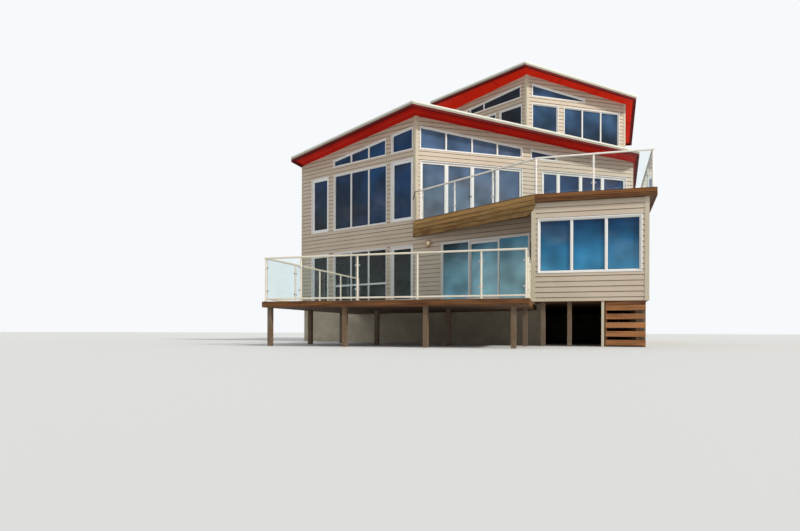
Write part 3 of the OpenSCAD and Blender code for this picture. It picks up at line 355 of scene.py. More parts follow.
boardCover = 0.15
planks = {"sideDepth": 0.575, "sideCount": 4, "frontDepth": 0.23, "frontCount": 2}  # the deck's edge
# The lap lines are painted shade: a dark band under each weatherboard's lap, and in the joints between the deck's edge
# planks
boardLapShade = {"Start": plan["lowerFloor"], "Cover": boardCover, "Width": 0.17, "Shade": rgb((66, 55, 43))}
frontPlankShade = {"Start": plan["deck"] - planks["frontDepth"], "Cover": planks["frontDepth"] / planks["frontCount"],
            "Width": 0.16, "Shade": rgb((46, 28, 16))}
sidePlankShade = {"Start": plan["deck"] - planks["sideDepth"], "Cover": planks["sideDepth"] / planks["sideCount"],
           "Width": 0.2, "Shade": rgb((56, 36, 18))}
materials = {
    # name, colour, stain, amount of stain, patch and fine scale, roughness, bump, metallic
    "boards": paint("weatherboardPaint", (206, 190, 170), (186, 168, 146), 0.5, 0.9, 90.0, 0.5, 0.25, lapShade=boardLapShade),
    "wall": paint("wallPaint", (192, 178, 156), (170, 156, 134), 0.3),
    "trim": paint("creamTrim", (206, 195, 172), (182, 168, 145), 0.4, 2.0),
    "frame": paint("whiteFrame", (240, 239, 237), (220, 216, 212), 0.25, 3.0, 120.0, 0.3, 0.05),
    "rail": paint("railPaint", (232, 224, 206), (196, 182, 158), 0.4, 4.0, 120.0, 0.32, 0.05),
    # Painted light: the deck rail's paint is a brighter copy of the terrace rail's
    "deckRail": paint("litDeckRailPaint", (250, 246, 238), (224, 214, 198), 0.35, 4.0, 120.0, 0.32, 0.05),
    "cap": paint("roofEdgePaint", (236, 234, 222), (204, 200, 184), 0.4, 1.2, 90.0, 0.35, 0.08),
    # Painted shade: the grey face under the cap is a shaded copy of the pale edge paint
    "edge": paint("roofFaceShadePaint", (174, 172, 156), (140, 136, 120), 0.45, 1.4, 90.0, 0.4, 0.1),
    "red": paint("redLining", (208, 26, 10), (158, 14, 8), 0.5, 1.1, 70.0, 0.6, 0.15, shine=0.12),
    # Painted light: the top soffit's lining is a brighter copy of the red lining
    "redTop": paint("litRedLiningTop", (246, 42, 10), (212, 24, 8), 0.5, 1.1, 70.0, 0.6, 0.15, shine=0.12),
    "redStrip": paint("redStrip", (222, 50, 26), (184, 28, 16), 0.5, 1.1, 70.0, 0.5, 0.1, shine=0.2),
    # The lower board under the caps is dark red paint, darkened further as painted shade under the cap
    "redEdge": paint("shadedRedEdgeBoard", (108, 12, 10), (70, 7, 7), 0.5, 1.4, 70.0, 0.55, 0.15, shine=0.12),
    "roof": paint("roofSteel", (196, 196, 186), (160, 158, 146), 0.4, 0.8, 60.0, 0.38, 0.1, 0.35),
    "base": paint("baseRender", (176, 166, 146), (128, 118, 100), 0.6, 1.3, 30.0, 0.85, 0.8),
    "seal": paint("rubberSeal", (34, 35, 36), (22, 22, 22), 0.3, 6.0, 200.0, 0.7, 0.1),
    "dark": paint("darkMetal", (48, 46, 44), (28, 27, 26), 0.4, 8.0, 200.0, 0.45, 0.1, 0.6),
    "steel": paint("stainlessBracket", (180, 180, 178), (140, 140, 138), 0.3, 8.0, 200.0, 0.28, 0.05, 0.9),
    "lamp": paint("lampGlass", (250, 234, 206), (234, 192, 146), 0.5, 9.0, 160.0, 0.25, 0.05),
    "lampRim": paint("lampRim", (166, 128, 90), (126, 92, 60), 0.5, 12.0, 160.0, 0.4, 0.05),
    # name, light, dark and grey wood, share of grey
    "deck": timber("deckTimber", (156, 122, 90), (96, 66, 44), (150, 142, 130), 0.45),
    "fascia": timber("fasciaTimber", (156, 102, 52), (76, 44, 20), (122, 90, 58), 0.4, lapShade=frontPlankShade),
    # Painted light: the deck's side planks take a lighter, golden copy of the front planks' timber
    "sideFascia": timber("litSideFasciaTimber", (200, 154, 90), (104, 72, 34), (160, 134, 86), 0.55, lapShade=sidePlankShade),
    "slat": timber("stainedTimber", (186, 126, 76), (94, 54, 30), (140, 108, 80), 0.35),
    "post": timber("postTimber", (130, 108, 84), (84, 64, 46), (130, 122, 110), 0.5, byBoard=False, turn=90),
    "floor": timber("floorTimber", (150, 112, 78), (100, 68, 42), (120, 96, 74), 0.15, byBoard=False),
    "clear": makeClear("railGlass", (244, 250, 250), (226, 236, 236)),
}
paneTintsAndReflections = {
    # left tints, right tints, reflected cloud, amount of cloud, heights, span of x, transmission; the tints are glass
    # colour with painted reflection and shade
    "lowerPanes": (((36, 48, 44), (18, 26, 28)), ((66, 152, 196), (14, 66, 108)), (128, 136, 140), 0.45,
                   (1.7, 3.7), (-0.4, 1.4)),
    "doorPanes": (((136, 200, 224), (18, 42, 50)), ((184, 240, 255), (86, 150, 184)), (190, 222, 236), 0.45,
                  (2.0, 3.45), (1.4, 3.4), 0.05),
    "leftPanes": (((38, 52, 62), (10, 52, 92)), ((36, 66, 100), (8, 66, 112)), (104, 96, 108), 0.5,
                  (4.5, 6.9), (-4.5, -1.0)),
    "deckPanes": (((104, 122, 142), (82, 108, 142)), ((36, 84, 130), (34, 52, 92)), (132, 116, 112), 0.55,
                  (4.6, 7.2), (1.5, 6.0)),
    "topPanes": (((4, 9, 10), (18, 28, 48)), ((26, 34, 42), (58, 88, 122)), (70, 84, 102), 0.45,
                 (7.9, 9.6), (2.9, 3.6)),
    "sidePanes": (((40, 70, 104), (26, 44, 76)), ((40, 70, 104), (26, 44, 76)), (110, 116, 128), 0.5,
                  (2.0, 9.5), (-1.0, 1.0)),
}
materials.update({key: makePanes(key, *values) for key, values in paneTintsAndReflections.items()})
cadMaterials = {
    "wall": ["lower_left_wall", "lower_wall_over_door", "front_room_side_wall", "front_room_wall", "lower_right_wall",
             "lower_back_walls", "upper_left_wall", "upper_deck_wall", "upper_right_wall", "upper_back_walls",
             "top_left_wall", "top_right_wall", "top_back_walls"],
    "base": ["base_walls"],
    "post": ["floor_posts"],
    "slat": ["underfloor_slats"],
    "floor": ["lower_floor", "upper_floor", "top_floor"],
    "deck": ["deck_floor", "terrace_floor"],
    "fascia": ["deck_edge_boards"],
    "roof": ["main_roof", "top_roof"],
    "red": ["main_soffit"],
    "redTop": ["top_soffit"],
    "edge": ["main_edge_boards", "top_edge_boards"],
    "frame": ["lower_windows", "upper_left_windows", "deck_doors", "top_windows", "back_windows",
              "terrace_door_frame", "terrace_door_panel"],
    "lowerPanes": ["lower_glass"],
    "doorPanes": ["terrace_door_glass", "terrace_door_panel_glass"],
    "leftPanes": ["upper_left_glass"],
    "deckPanes": ["deck_door_glass"],
    "topPanes": ["top_glass"],
    "sidePanes": ["back_glass"],
    "clear": ["deck_rail_glass", "terrace_rail_glass"],
    "rail": ["terrace_rail"],
    "deckRail": ["deck_rail"],
    "trim": ["corner_boards"],
    "lamp": ["wall_light"],
    "dark": ["wall_fitting"],
}
for key, names in cadMaterials.items():
    for name in names:
        mesh = cadNodes[name].data
        mesh.materials.clear()
        mesh.materials.append(materials[key])
print("materials made")


# Mesh makers

def outward(points, faces):
    # A closed shape's faces, turned round if its volume, the sum of a . (b x c) / 6, comes out negative
    tri = np.array([(f[0], f[k], f[k + 1]) for f in faces for k in range(1, len(f) - 1)])
    a, b, c = (points[tri[:, k]] - points[0] for k in range(3))
    return faces if np.einsum("ij,ij->", a, np.cross(b, c)) > 0 else [list(reversed(f)) for f in faces]


def addObject(name, data):
    made = bpy.data.objects.new(name, data)
    bpy.context.scene.collection.objects.link(made)
    return made


def addMesh(name, points, faces, key, slotName, body=houseBody, place=None, tone=None, smooth=False, replaces=()):
    # An array of points and a list of faces, in the house's frame; place and tone are each point's own
    mesh = bpy.data.meshes.new(name)
    mesh.from_pydata(points.reshape(-1, 3).tolist(), [], faces)
    if place is not None:
        layer = mesh.attributes.new("boardPlace", "FLOAT_VECTOR", "POINT")
        layer.data.foreach_set("vector", np.asarray(place, np.float32).ravel())
        layer = mesh.attributes.new("boardTone", "FLOAT", "POINT")
        layer.data.foreach_set("value", np.asarray(tone, np.float32).ravel())
    mesh.polygons.foreach_set("use_smooth", np.full(len(mesh.polygons), smooth))
    mesh.materials.append(materials[key])
    made = addObject(name, mesh)
    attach(made, body)
    if replaces:
        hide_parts(*replaces)
    return made


def joinShapes(shapes):
    points, faces, start = [], [], 0
    for p, f in shapes:
        points.append(p)
        faces += [[start + k for k in face] for face in outward(p, f)]
        start += len(p)
    return np.concatenate(points), faces


def addShapes(name, shapes, key, slotName, **more):
    return addMesh(name, *joinShapes(shapes), key, slotName, **more)


def boardPlaces(offsets, first):
    # Each point's place on its board, along it, across it and up, from its offset and the board's direction
    run = np.einsum("...kd,...d->...k", offsets, first)
    rest = offsets - run[..., None] * first[..., None, :]
    return np.stack([run, rest[..., 0] + rest[..., 1], rest[..., 2]], axis=-1)


grain = {"blockSeed": 7, "boardSeed": 11, "spread": 40}  # where each board's grain starts, in metres
blockFaces = np.array([[0, 1, 2, 3], [4, 7, 6, 5], [3, 2, 6, 7], [1, 0, 4, 5], [0, 3, 7, 4], [2, 1, 5, 6]])


def addBlocks(name, corners, key, slotName, along=None, bevel=0.0, **more):
    # Six-sided blocks: corners (n, 8, 3), lower four then upper four, counter-clockwise from below.
    # Each block is one board: its place runs along its first edge, its tone is its own.
    corners = np.array(corners, float)
    n = len(corners)
    faces = (blockFaces[None] + 8 * np.arange(n)[:, None, None]).reshape(-1, 4).tolist()
    picker = np.random.default_rng(grain["blockSeed"])
    start = picker.uniform(0, grain["spread"], (n, 1, 3))
    first = corners[:, 1] - corners[:, 0] if along is None else along
    first = first / np.linalg.norm(first, axis=1, keepdims=True)
    side, other, up = (corners[:, k] - corners[:, 0] for k in (1, 3, 4))
    turned = np.einsum("ni,ni->n", np.cross(other, side), up) < 0
    corners[turned] = corners[turned][:, [0, 3, 2, 1, 4, 7, 6, 5]]
    place = boardPlaces(corners - corners[:, :1], first) + start
    tone = np.repeat(picker.uniform(0, 1, n), 8)
    made = addMesh(name, corners, faces, key, slotName, place=place, tone=tone, **more)
    if bevel:
        edge = made.modifiers.new("roundEdges", "BEVEL")
        edge.width, edge.segments, edge.limit_method = bevel, 2, "ANGLE"
    return made


def addBoards(name, shapes, directions, key, slotName, **more):
    # Timber pieces, each with its grain along its own direction and a tone of its own
    picker = np.random.default_rng(grain["boardSeed"])
    places, tones = [], []
    for (points, _), direction in zip(shapes, directions):
        first = np.asarray(direction, float) / np.linalg.norm(direction)
        places.append(boardPlaces(points - points[0], first) + picker.uniform(0, grain["spread"], 3))
        tones.append(np.full(len(points), picker.uniform(0, 1)))
    return addShapes(name, shapes, key, slotName, place=np.concatenate(places), tone=np.concatenate(tones), **more)


def mitres(paths, closed=True):
    # How far a corner goes when both its sides move one unit to their left: (n1 + n2) / (1 + n1 . n2)
    step = np.roll(paths, -1, -2) - paths
    if not closed:
        step[-1] = step[-2]
    unit = step / np.linalg.norm(step, axis=-1, keepdims=True)
    normal = np.stack([-unit[..., 1], unit[..., 0]], -1)
    before = np.roll(normal, 1, -2)
    if not closed:
        before[0] = normal[0]
    return (normal + before) / (1 + (normal * before).sum(-1, keepdims=True))


def offsetPath(path, distance, closed=False):
    path = np.asarray(path, float)
    return path + distance * mitres(path, closed)


def gridFaces(rows, columns, closeRows, closeColumns, start=0):
    # Quads between neighbours of a grid of points
    i, j = np.meshgrid(np.arange(rows if closeRows else rows - 1),
                       np.arange(columns if closeColumns else columns - 1), indexing="ij")
    a, b = (i + 1) % rows, (j + 1) % columns
    return np.stack([i * columns + j, a * columns + j, a * columns + b, i * columns + b], -1).reshape(-1, 4) + start


def tubeFaces(rings, m, closed=False):
    # The sides between rings of m points, and both ends where the rings don't close
    sides = gridFaces(rings, m, closed, True).tolist()
    return sides if closed else sides + [list(reversed(range(m))), list(range((rings - 1) * m, rings * m))]


def sweepShape(path, profile, closed=False, under=None):
    # A profile of (left, up) carried along a path of 3-D points, mitred in plan.
    # With a roof's plane, the path is a plan path and up is measured from that plane.
    path = np.asarray(path, float)
    profile = np.asarray(profile, float)
    sides = np.stack([offsetPath(path[:, :2], left, closed) for left in profile[:, 0]], 1)
    heights = (under(sides) if under else path[:, None, 2]) + profile[None, :, 1]
    points = np.concatenate([sides, heights[..., None]], 2)
    return points.reshape(-1, 3), tubeFaces(len(path), len(profile), closed)


def segmentShapes(path, profile):
    # A sweep as one board for each straight part of its path, mitred to the next
    m = len(profile)
    rows = sweepShape(path, profile)[0].reshape(len(path), m, 3)
    return [(rows[i:i + 2].reshape(-1, 3), tubeFaces(2, m)) for i in range(len(path) - 1)]


def moveSides(outline, distances):
    # An outline whose sides are moved to their left, each by its own distance, and meet again at its corners
    step = np.roll(outline, -1, 0) - outline
    unit = step / np.linalg.norm(step, axis=1, keepdims=True)
    start = outline + np.asarray(distances)[:, None] * np.stack([-unit[:, 1], unit[:, 0]], 1)
    before, unitBefore = np.roll(start, 1, 0), np.roll(unit, 1, 0)
    return before + unitBefore * (cross2(start - before, unit) / cross2(unitBefore, unit))[:, None]


def clipRuns(outline, turn, pitch, width, shift=0.0, shortest=0.03):
    # Strips along a heading, cut to an outline: points (n, 4, 2) where a strip's two edges enter and leave it
    a, n = way(turn), way(turn + 90)
    u, v = outline @ a, outline @ n
    first = np.arange(math.ceil((v.min() - shift) / pitch),
                      math.floor((v.max() - width - shift) / pitch) + 1) * pitch + shift
    lines = np.stack([first, first + width], 1)[..., None]
    t = (lines - v) / (np.roll(v, -1) - v + 1e-12)
    at = u + t * (np.roll(u, -1) - u)
    hit = (t >= 0) & (t <= 1)
    lo, hi = np.where(hit, at, 1e3).min(-1), np.where(hit, at, -1e3).max(-1)
    keep = (hi - lo).min(1) > shortest
    lo, hi, across = lo[keep], hi[keep], lines[keep, :, 0]
    corners = [run[:, k, None] * a + across[:, k, None] * n for run, k in ((lo, 0), (hi, 0), (hi, 1), (lo, 1))]
    return np.stack(corners, 1)


def stripBlocks(strips, low, high, taper=0.0):
    # Blocks on strips: low and high give the heights over a place, and the top is narrower by the taper all along
    side = strips[:, 3] - strips[:, 0]
    side = taper * side / np.linalg.norm(side, axis=1, keepdims=True)
    upper = strips + np.stack([side, side, -side, -side], 1)
    layers = [np.concatenate([flat, np.broadcast_to(height(flat), flat.shape[:2])[..., None]], 2)
              for flat, height in ((strips, low), (upper, high))]
    return np.concatenate(layers, 1)


def revolveShape(profile, centre, axis, steps=24):
    # A profile of (radius, height) turned about an axis through a centre, both ends closed.
    # Its first point lies square to the axis and to another direction, which can be any but the axis's own.
    axis = np.asarray(axis, float) / np.linalg.norm(axis)
    side = np.cross(axis, (0.31, 0.17, 0.93) if abs(axis[2]) < 0.9 else (1.0, 0.0, 0.0))
    side /= np.linalg.norm(side)
    other = np.cross(axis, side)
    profile = np.asarray(profile, float)
    t = np.arange(steps) * 2 * math.pi / steps
    ring = np.cos(t)[:, None] * side + np.sin(t)[:, None] * other
    points = centre + profile[None, :, :1] * ring[:, None] + profile[None, :, 1:] * axis
    m = len(profile)
    faces = gridFaces(steps, m, True, False).tolist()
    faces.append([k * m for k in range(steps)])
    faces.append([k * m + m - 1 for k in reversed(range(steps))])
    return points.reshape(-1, 3), faces


def onWall(p, turn, along, into, up):
    # Points on a wall's own axes: along it, into the house, and up
    a, n = way(turn), way(turn + 90)
    along, into, up = np.broadcast_arrays(along, into, up)
    flat = np.asarray(p) + along[..., None] * a + into[..., None] * n
    return np.concatenate([flat, up[..., None]], -1)


def extrudeShape(outline, p, turn, near, far):
    # An outline of (along, up) on a wall's axes, carried into the wall from one depth to another
    outline = np.asarray(outline, float)
    points = np.concatenate([onWall(p, turn, outline[:, 0], depth, outline[:, 1]) for depth in (near, far)])
    return points, tubeFaces(2, len(outline))


def roundRect(width, height, radius, low=0.0, steps=4):
    # A rectangle's outline with round corners as (left, up), standing on low
    a = np.linspace(0, math.pi / 2, steps)
    x = width / 2 - radius
    arcs = []
    for k, (cx, cy) in enumerate(((x, height - radius), (-x, height - radius), (-x, radius), (x, radius))):
        t = a + k * math.pi / 2
        arcs.append(np.stack([cx + radius * np.cos(t), cy + radius * np.sin(t) + low], 1))
    return np.concatenate(arcs)


# Windows: (start, end, foot, head at start, head at end, bars, crossbar, sash width)

lowerFloor, deckFloor, topFloor, terraceFloor = (plan[key] for key in ("lowerFloor", "deck", "topFloor", "terrace"))
lowerFoot, lowerHead = lowerFloor + 0.07, lowerFloor + 2.09
upperFoot, upperHead = deckFloor + 0.06, deckFloor + 2.24
topFoot, topHead = topFloor + 0.8, topFloor + 2.655
plainFoot, upperPlainFoot, doorHead = lowerFloor + 0.69, deckFloor + 0.69, deckFloor + 2.145
highWindows = {
    # wall's corner, roof over it, sill, and how far the head lies under the roof's underside
    "main": (corner, mainUnder, deckFloor + 2.55, 0.325),
    "top": (block, topUnder, topFloor + 2.935, 0.3),
}
sashWidths = {"narrow": 0.065, "door": 0.045, "plain": 0.035, "front": 0.012}
tripleBars = (-3.1667, -2.2533)
frontWidth, frontEdge = plan["rightX"] - plan["frontX"], 0.16
frontBay = (frontWidth - 2 * frontEdge) / 3
endTurn = 270 + left


def unitAt(a, b, foot, head, bars=(), crossbar=0.0, sash=0.0):
    return (a, b, foot, head, head, bars, crossbar, sash)


def highUnit(roof, turn, a, b, bars=()):
    # A window whose head follows the roof
    p, under, foot, drop = highWindows[roof]
    return (a, b, foot, under(p + a * way(turn)) - drop, under(p + b * way(turn)) - drop, bars, 0.0, 0.0)


def leftRow(foot, head, crossbar=0.0):
    return [unitAt(-1.13, -0.11, foot, head, sash=sashWidths["narrow"]),
            unitAt(-4.08, -1.34, foot, head, tripleBars, crossbar),
            unitAt(-5.35, -4.38, foot, head, sash=sashWidths["narrow"])]


def plainRows(first, count, pitch, rows):
    # Evenly spaced windows on the hidden sides, a row for each (foot, head)
    return [unitAt(first + k * pitch, first + k * pitch + 1.2, foot, head, sash=sashWidths["plain"])
            for foot, head in rows for k in range(count)]


glazing = {
    # a wall's start, its heading and its windows
    "upperLeft": (corner, left, leftRow(upperFoot, upperHead) + [
        highUnit("main", left, -1.11, -0.13), highUnit("main", left, -4.125, -1.385, tripleBars)]),
    "lowerLeft": (corner, left, leftRow(lowerFoot, lowerHead, lowerFloor + 0.8)),
    "front": (frontLeft, 0.0, [
        unitAt(frontEdge, frontWidth - frontEdge, plainFoot, lowerFloor + 2.23,
               (frontEdge + frontBay, frontEdge + 2 * frontBay), sash=sashWidths["front"])]),
    "deck": (corner, deckT, [
        unitAt(0.17, 4.17, deckFloor, doorHead, (1.17, 2.17, 3.17), sash=sashWidths["door"]),
        unitAt(4.99, 8.69, deckFloor, doorHead, (5.7, 6.67, 7.64), sash=sashWidths["door"]),
        highUnit("main", deckT, 0.15, 4.17, (1.155, 2.16, 3.165)), highUnit("main", deckT, 4.52, 5.62)]),
    "topLeft": (block, topLeftT, [
        unitAt(-1.4, -0.24, topFoot, topHead), unitAt(-2.5, -1.61, topFoot, topHead),
        highUnit("top", topLeftT, -3.9, -0.3, (-3.105, -2.31))]),
    "topRight": (block, deckT, [
        unitAt(0.24, 1.44, topFoot, topHead), unitAt(1.71, 4.38, topFoot, topHead, (2.6, 3.49)),
        highUnit("top", deckT, 0.24, 2.7)]),
    "rightLower": (frontRight, 90.0, plainRows(1.5, 3, 2.6, [(plainFoot, lowerHead)])),
    "rear": (rearRight, 180.0, plainRows(1.2, 3, 2.3, [(plainFoot, lowerHead), (upperPlainFoot, upperHead),
                                                       (topFoot, topHead - 0.2)])),
    "end": (wingRear, endTurn, plainRows(1.9, 1, 0, [(plainFoot, lowerHead), (upperPlainFoot, upperHead - 0.1)])),
}
windows = {name: units for name, (_, _, units) in glazing.items()}
doorShape = {"start": 1.13, "bay": 1.108, "height": 2.05, "overlap": 0.025,
             "member": 0.07, "panelFoot": 0.0643, "panelDrop": 0.056}
bayEnds = doorShape["start"] + doorShape["bay"] * np.arange(4)
doorUnit = unitAt(bayEnds[0], bayEnds[3], lowerFloor, lowerFloor + doorShape["height"])


# Weatherboards

boardShape = {"topThickness": 0.006, "footThickness": 0.022, "least": 0.0006, "foot": lowerFloor - 0.112}
tiny = 1e-6  # lines closer than this count as one


def pairs(values):
    # Each value with the next, on a grid's last two axes
    values = np.asarray(values, float)
    return np.stack([values[:-1], values[1:]], -1)[None]


def boardCells(xs, low, high, levels, openings):
    # Rows of boards cut into columns at xs: each cell lies between the higher of its row's foot and low,
    # and the lower of its row's head and high, less the openings
    lo = np.maximum(levels[:-1, None, None], pairs(low))
    hi = np.minimum(levels[1:, None, None], pairs(high))
    x = np.broadcast_to(pairs(xs), lo.shape)
    keep = np.ones(lo.shape[:2], bool)
    mid = x.mean(-1)
    for a, b, sill, headA, headB, *_ in openings:
        inside = (mid > a) & (mid < b)
        line = headA + (headB - headA) * (x - a) / (b - a)
        lineMid, loMid, hiMid = line.mean(-1), lo.mean(-1), hi.mean(-1)
        keep &= ~(inside & (sill <= loMid + tiny) & (lineMid >= hiMid - tiny))
        over = inside & (lineMid > loMid) & (lineMid < hiMid)
        under = inside & (sill > loMid) & (sill < hiMid)
        lo = np.where(over[..., None], line, lo)
        hi = np.where(under[..., None], sill, hi)
    keep &= (hi - lo).mean(-1) > boardShape["least"]
    row = np.broadcast_to(np.arange(len(levels) - 1)[:, None], keep.shape)[keep]
    lo, hi, x = lo[keep], hi[keep], x[keep]
    return x, lo, np.maximum(hi, lo + boardShape["least"]), row


def breakPoints(span, levels, lines, openings):
    # Every place along a wall where a row's edge crosses a sloping line, or an opening starts or ends
    found = [*span]
    for a, b, z0, slope in lines + [(o[0], o[1], o[3], (o[4] - o[3]) / (o[1] - o[0])) for o in openings]:
        found += [a, b]
        if abs(slope) > 1e-9:
            crossing = a + (levels - z0) / slope
            found += crossing[(crossing > a) & (crossing < b)].tolist()
    return np.unique(np.round(np.clip(found, *span), 5))


def level(z):
    return lambda place: z


def along(p, turn, high):
    # The height at a place along a wall, from a plain height or a roof's plane
    return (lambda s: float(high(p + s * way(turn)))) if callable(high) else level(high)


def cladShape(p, turn, a, b, high, openings=(), low=boardShape["foot"]):
    # Boards on a wall from a to b, between two straight lines; each is thick at its foot and thin at its head
    low, high = along(p, turn, low), along(p, turn, high)
    first = math.floor((min(low(a), low(b)) - lowerFloor) / boardCover + tiny)
    last = math.ceil((max(high(a), high(b)) - lowerFloor) / boardCover - tiny)
    levels = lowerFloor + boardCover * np.arange(first, last + 1)
    xs = breakPoints((a, b), levels, [(a, b, f(a), (f(b) - f(a)) / (b - a)) for f in (low, high)], openings)
    x, lo, hi, row = boardCells(xs, [low(v) for v in xs], [high(v) for v in xs], levels, openings)
    thin, gain = boardShape["topThickness"], boardShape["footThickness"] - boardShape["topThickness"]
    corners = []
    for z in (lo, hi):
        thick = thin + gain * (levels[row + 1][:, None] - z) / boardCover
        corners += [onWall(p, turn, x[:, end], -share * thick[:, end], z[:, end])
                    for end, share in ((0, 0), (1, 0), (1, 1), (0, 1))]
    return np.stack(corners, 1)


def overMain(p):
    # Where the top block's boards end over the main roof
    return mainUnder(p) + (roofs["over"] + roofs["boardsOver"])


cornerWidth, deckUnder = 0.09, plan["deckUnder"]
underDeckEnd, deckWallBoardEnd = 4.685, 9.0  # where the boards under the deck and on the deck wall end
sideLength, stepAt = deckWallEnd[1] - plan["frontY"], rightStep[1] - plan["frontY"]
walls = {
    # a face's start, heading, ends along it, head, openings and foot, where that isn't the lowest board's
    "leftWallBoards": [
        (corner, left, -plan["leftLength"], -cornerWidth, mainUnder, windows["upperLeft"] + windows["lowerLeft"]),
        (corner, left, -cornerWidth, 0.0, deckFloor), (corner, left, 0.0, underDeckEnd, deckUnder, [doorUnit])],
    "deckWallBoards": [(corner, deckT, cornerWidth, deckWallBoardEnd, mainUnder, windows["deck"], deckFloor)],
    "frontRoomBoards": [
        (frontLeft, 0.0, cornerWidth, frontWidth - cornerWidth, deckUnder, windows["front"]),
        (frontJoint, -90.0, 0.0, float(frontJoint[1] - frontLeft[1]) - cornerWidth, deckUnder)],
    "rightSideBoards": [
        (frontRight, 90.0, cornerWidth, sideLength, deckUnder, windows["rightLower"]),
        (frontRight, 90.0, sideLength, stepAt, mainUnder),
        (rightStep, 180.0 + deckT, 0.0, apart(blockRight, rightStep), mainUnder),
        (blockRight, 90.0, 0.0, apart(blockRight, rearRight), topUnder)],
    "rearBoards": [
        (rearRight, 180.0, 0.0, apart(rearLeft, rearRight), topUnder, windows["rear"]),
        (rearLeft, 270.0, 0.0, apart(blockLeft, rearLeft), topUnder),
        (blockLeft, 180.0, 0.0, apart(wingRear, blockLeft), mainUnder),
        (wingRear, endTurn, 0.0, apart(leftEnd, wingRear), mainUnder, windows["end"])],
    "topBlockBoards": [
        (block, topLeftT, -plan["blockLeftLength"], -cornerWidth, topUnder, windows["topLeft"], overMain),
        (block, deckT, cornerWidth, plan["blockRightLength"] - cornerWidth, topUnder, windows["topRight"], overMain)],
}
for name, faces in walls.items():
    addBlocks(name, np.concatenate([cladShape(*face) for face in faces]), "boards", "weatherboard")

# The front room's corner boards run down over the lowest weatherboard
footShape = {"low": boardShape["foot"] - 0.004, "high": 0.115, "outer": -0.03, "inner": -0.001, "overlap": -0.003}
cornerFeet = []
for p, turnBefore, turnAfter in ((frontLeft, -90.0, 0.0), (frontRight, 0.0, 90.0)):
    for turn, a, b in ((turnBefore, -cornerWidth, -footShape["outer"]), (turnAfter, footShape["overlap"], cornerWidth)):
        base = np.array([onWall(p, turn, u, footShape[depth], footShape["low"]) for u, depth in (
            (a, "outer"), (b, "outer"), (b, "inner"), (a, "inner"))])
        cornerFeet.append(np.concatenate([base, base + [0, 0, footShape["high"]]]))
addBlocks("cornerFeet", cornerFeet, "trim", "trim_paint", bevel=0.002)
print("weatherboards made")


# Window trims: profiles of (inwards, into the wall) carried round each opening or pane

frameWidth = 0.05
flangeProfile = [(-0.008, 0.004), (-0.008, -0.024), (-0.004, -0.027), (0.018, -0.027), (0.021, -0.024), (0.021, 0.012)]
beadProfile = [(0.0, 0.018), (0.0, 0.05), (0.009, 0.05), (0.009, 0.034), (0.006, 0.026)]
slimBeadProfile = [(a * 0.6, max(depth, 0.028)) for a, depth in beadProfile]
sealProfile = [(0.008, 0.044), (0.008, 0.0505), (0.014, 0.0505), (0.013, 0.046)]


def quadRing(quads, profile):
    # Each profile point is the quad moved in by that much, at that depth
    quads, profile = np.asarray(quads, float), np.asarray(profile, float)
    return quads[:, :, None] + profile[None, None, :, :1] * mitres(quads)[:, :, None], profile[:, 1]


def ringMesh(p, turn, quads, profile):
    # Four mitred sides of one profile round each quad of a wall
    flat, depth = quadRing(quads, profile)
    points = onWall(p, turn, flat[..., 0], np.broadcast_to(depth, flat.shape[:-1]), flat[..., 1])
    n, rows, columns = points.shape[:3]
    faces = np.concatenate([gridFaces(rows, columns, True, True, k * rows * columns) for k in range(n)])
    return points.reshape(-1, 3), faces[:, ::-1].tolist()


def outerQuad(unit):
    a, b, foot, headA, headB = unit[:5]
    return [(a, foot), (b, foot), (b, headB), (a, headA)]


def paneQuads(unit):
    # The clear panes between a unit's members, lower ones too where it has a crossbar
    a, b, foot, headA, headB, bars, crossbar, _ = unit
    half = frameWidth / 2
    edges = [a + half, *bars, b - half]
    found = []
    for s, e in zip(edges[:-1], edges[1:]):
        s, e = s + half, e - half
        headS, headE = (headA + (headB - headA) * (x - a) / (b - a) - frameWidth for x in (s, e))
        split = crossbar + half if crossbar else foot + frameWidth
        found.append([(s, split), (e, split), (e, headE), (s, headS)])
        if crossbar:
            found.append([(s, foot + frameWidth), (e, foot + frameWidth), (e, crossbar - half), (s, crossbar - half)])
    return found


def sashProfile(width):
    return [(0.0, 0.018), (0.0, 0.05), (width, 0.05), (width, 0.026), (width - 0.006, 0.018)]


flanges, beads, seals, sashes = [], [], [], []
for p, turn, units in glazing.values():
    flanges.append(ringMesh(p, turn, [outerQuad(unit) for unit in units], flangeProfile))
    for unit in units:
        panes, sash = paneQuads(unit), unit[-1]
        if sash:
            sashes.append(ringMesh(p, turn, panes, sashProfile(sash)))
        inner = quadRing(panes, [(sash, 0.0)])[0][:, :, 0]
        beads.append(ringMesh(p, turn, inner, slimBeadProfile if sash else beadProfile))
        seals.append(ringMesh(p, turn, inner, sealProfile))
flanges.append(ringMesh(corner, left, [outerQuad(doorUnit)], flangeProfile))
addShapes("windowFlanges", flanges, "frame", "frame_paint")
addShapes("windowSashes", sashes, "frame", "frame_paint")
addShapes("glazingBeads", beads, "frame", "frame_paint")
addShapes("glazingSeals", seals, "seal", "frame_paint")
print("window trims made")


# Terrace door: beads, seals and a recessed pull; the panel's own pieces ride with it

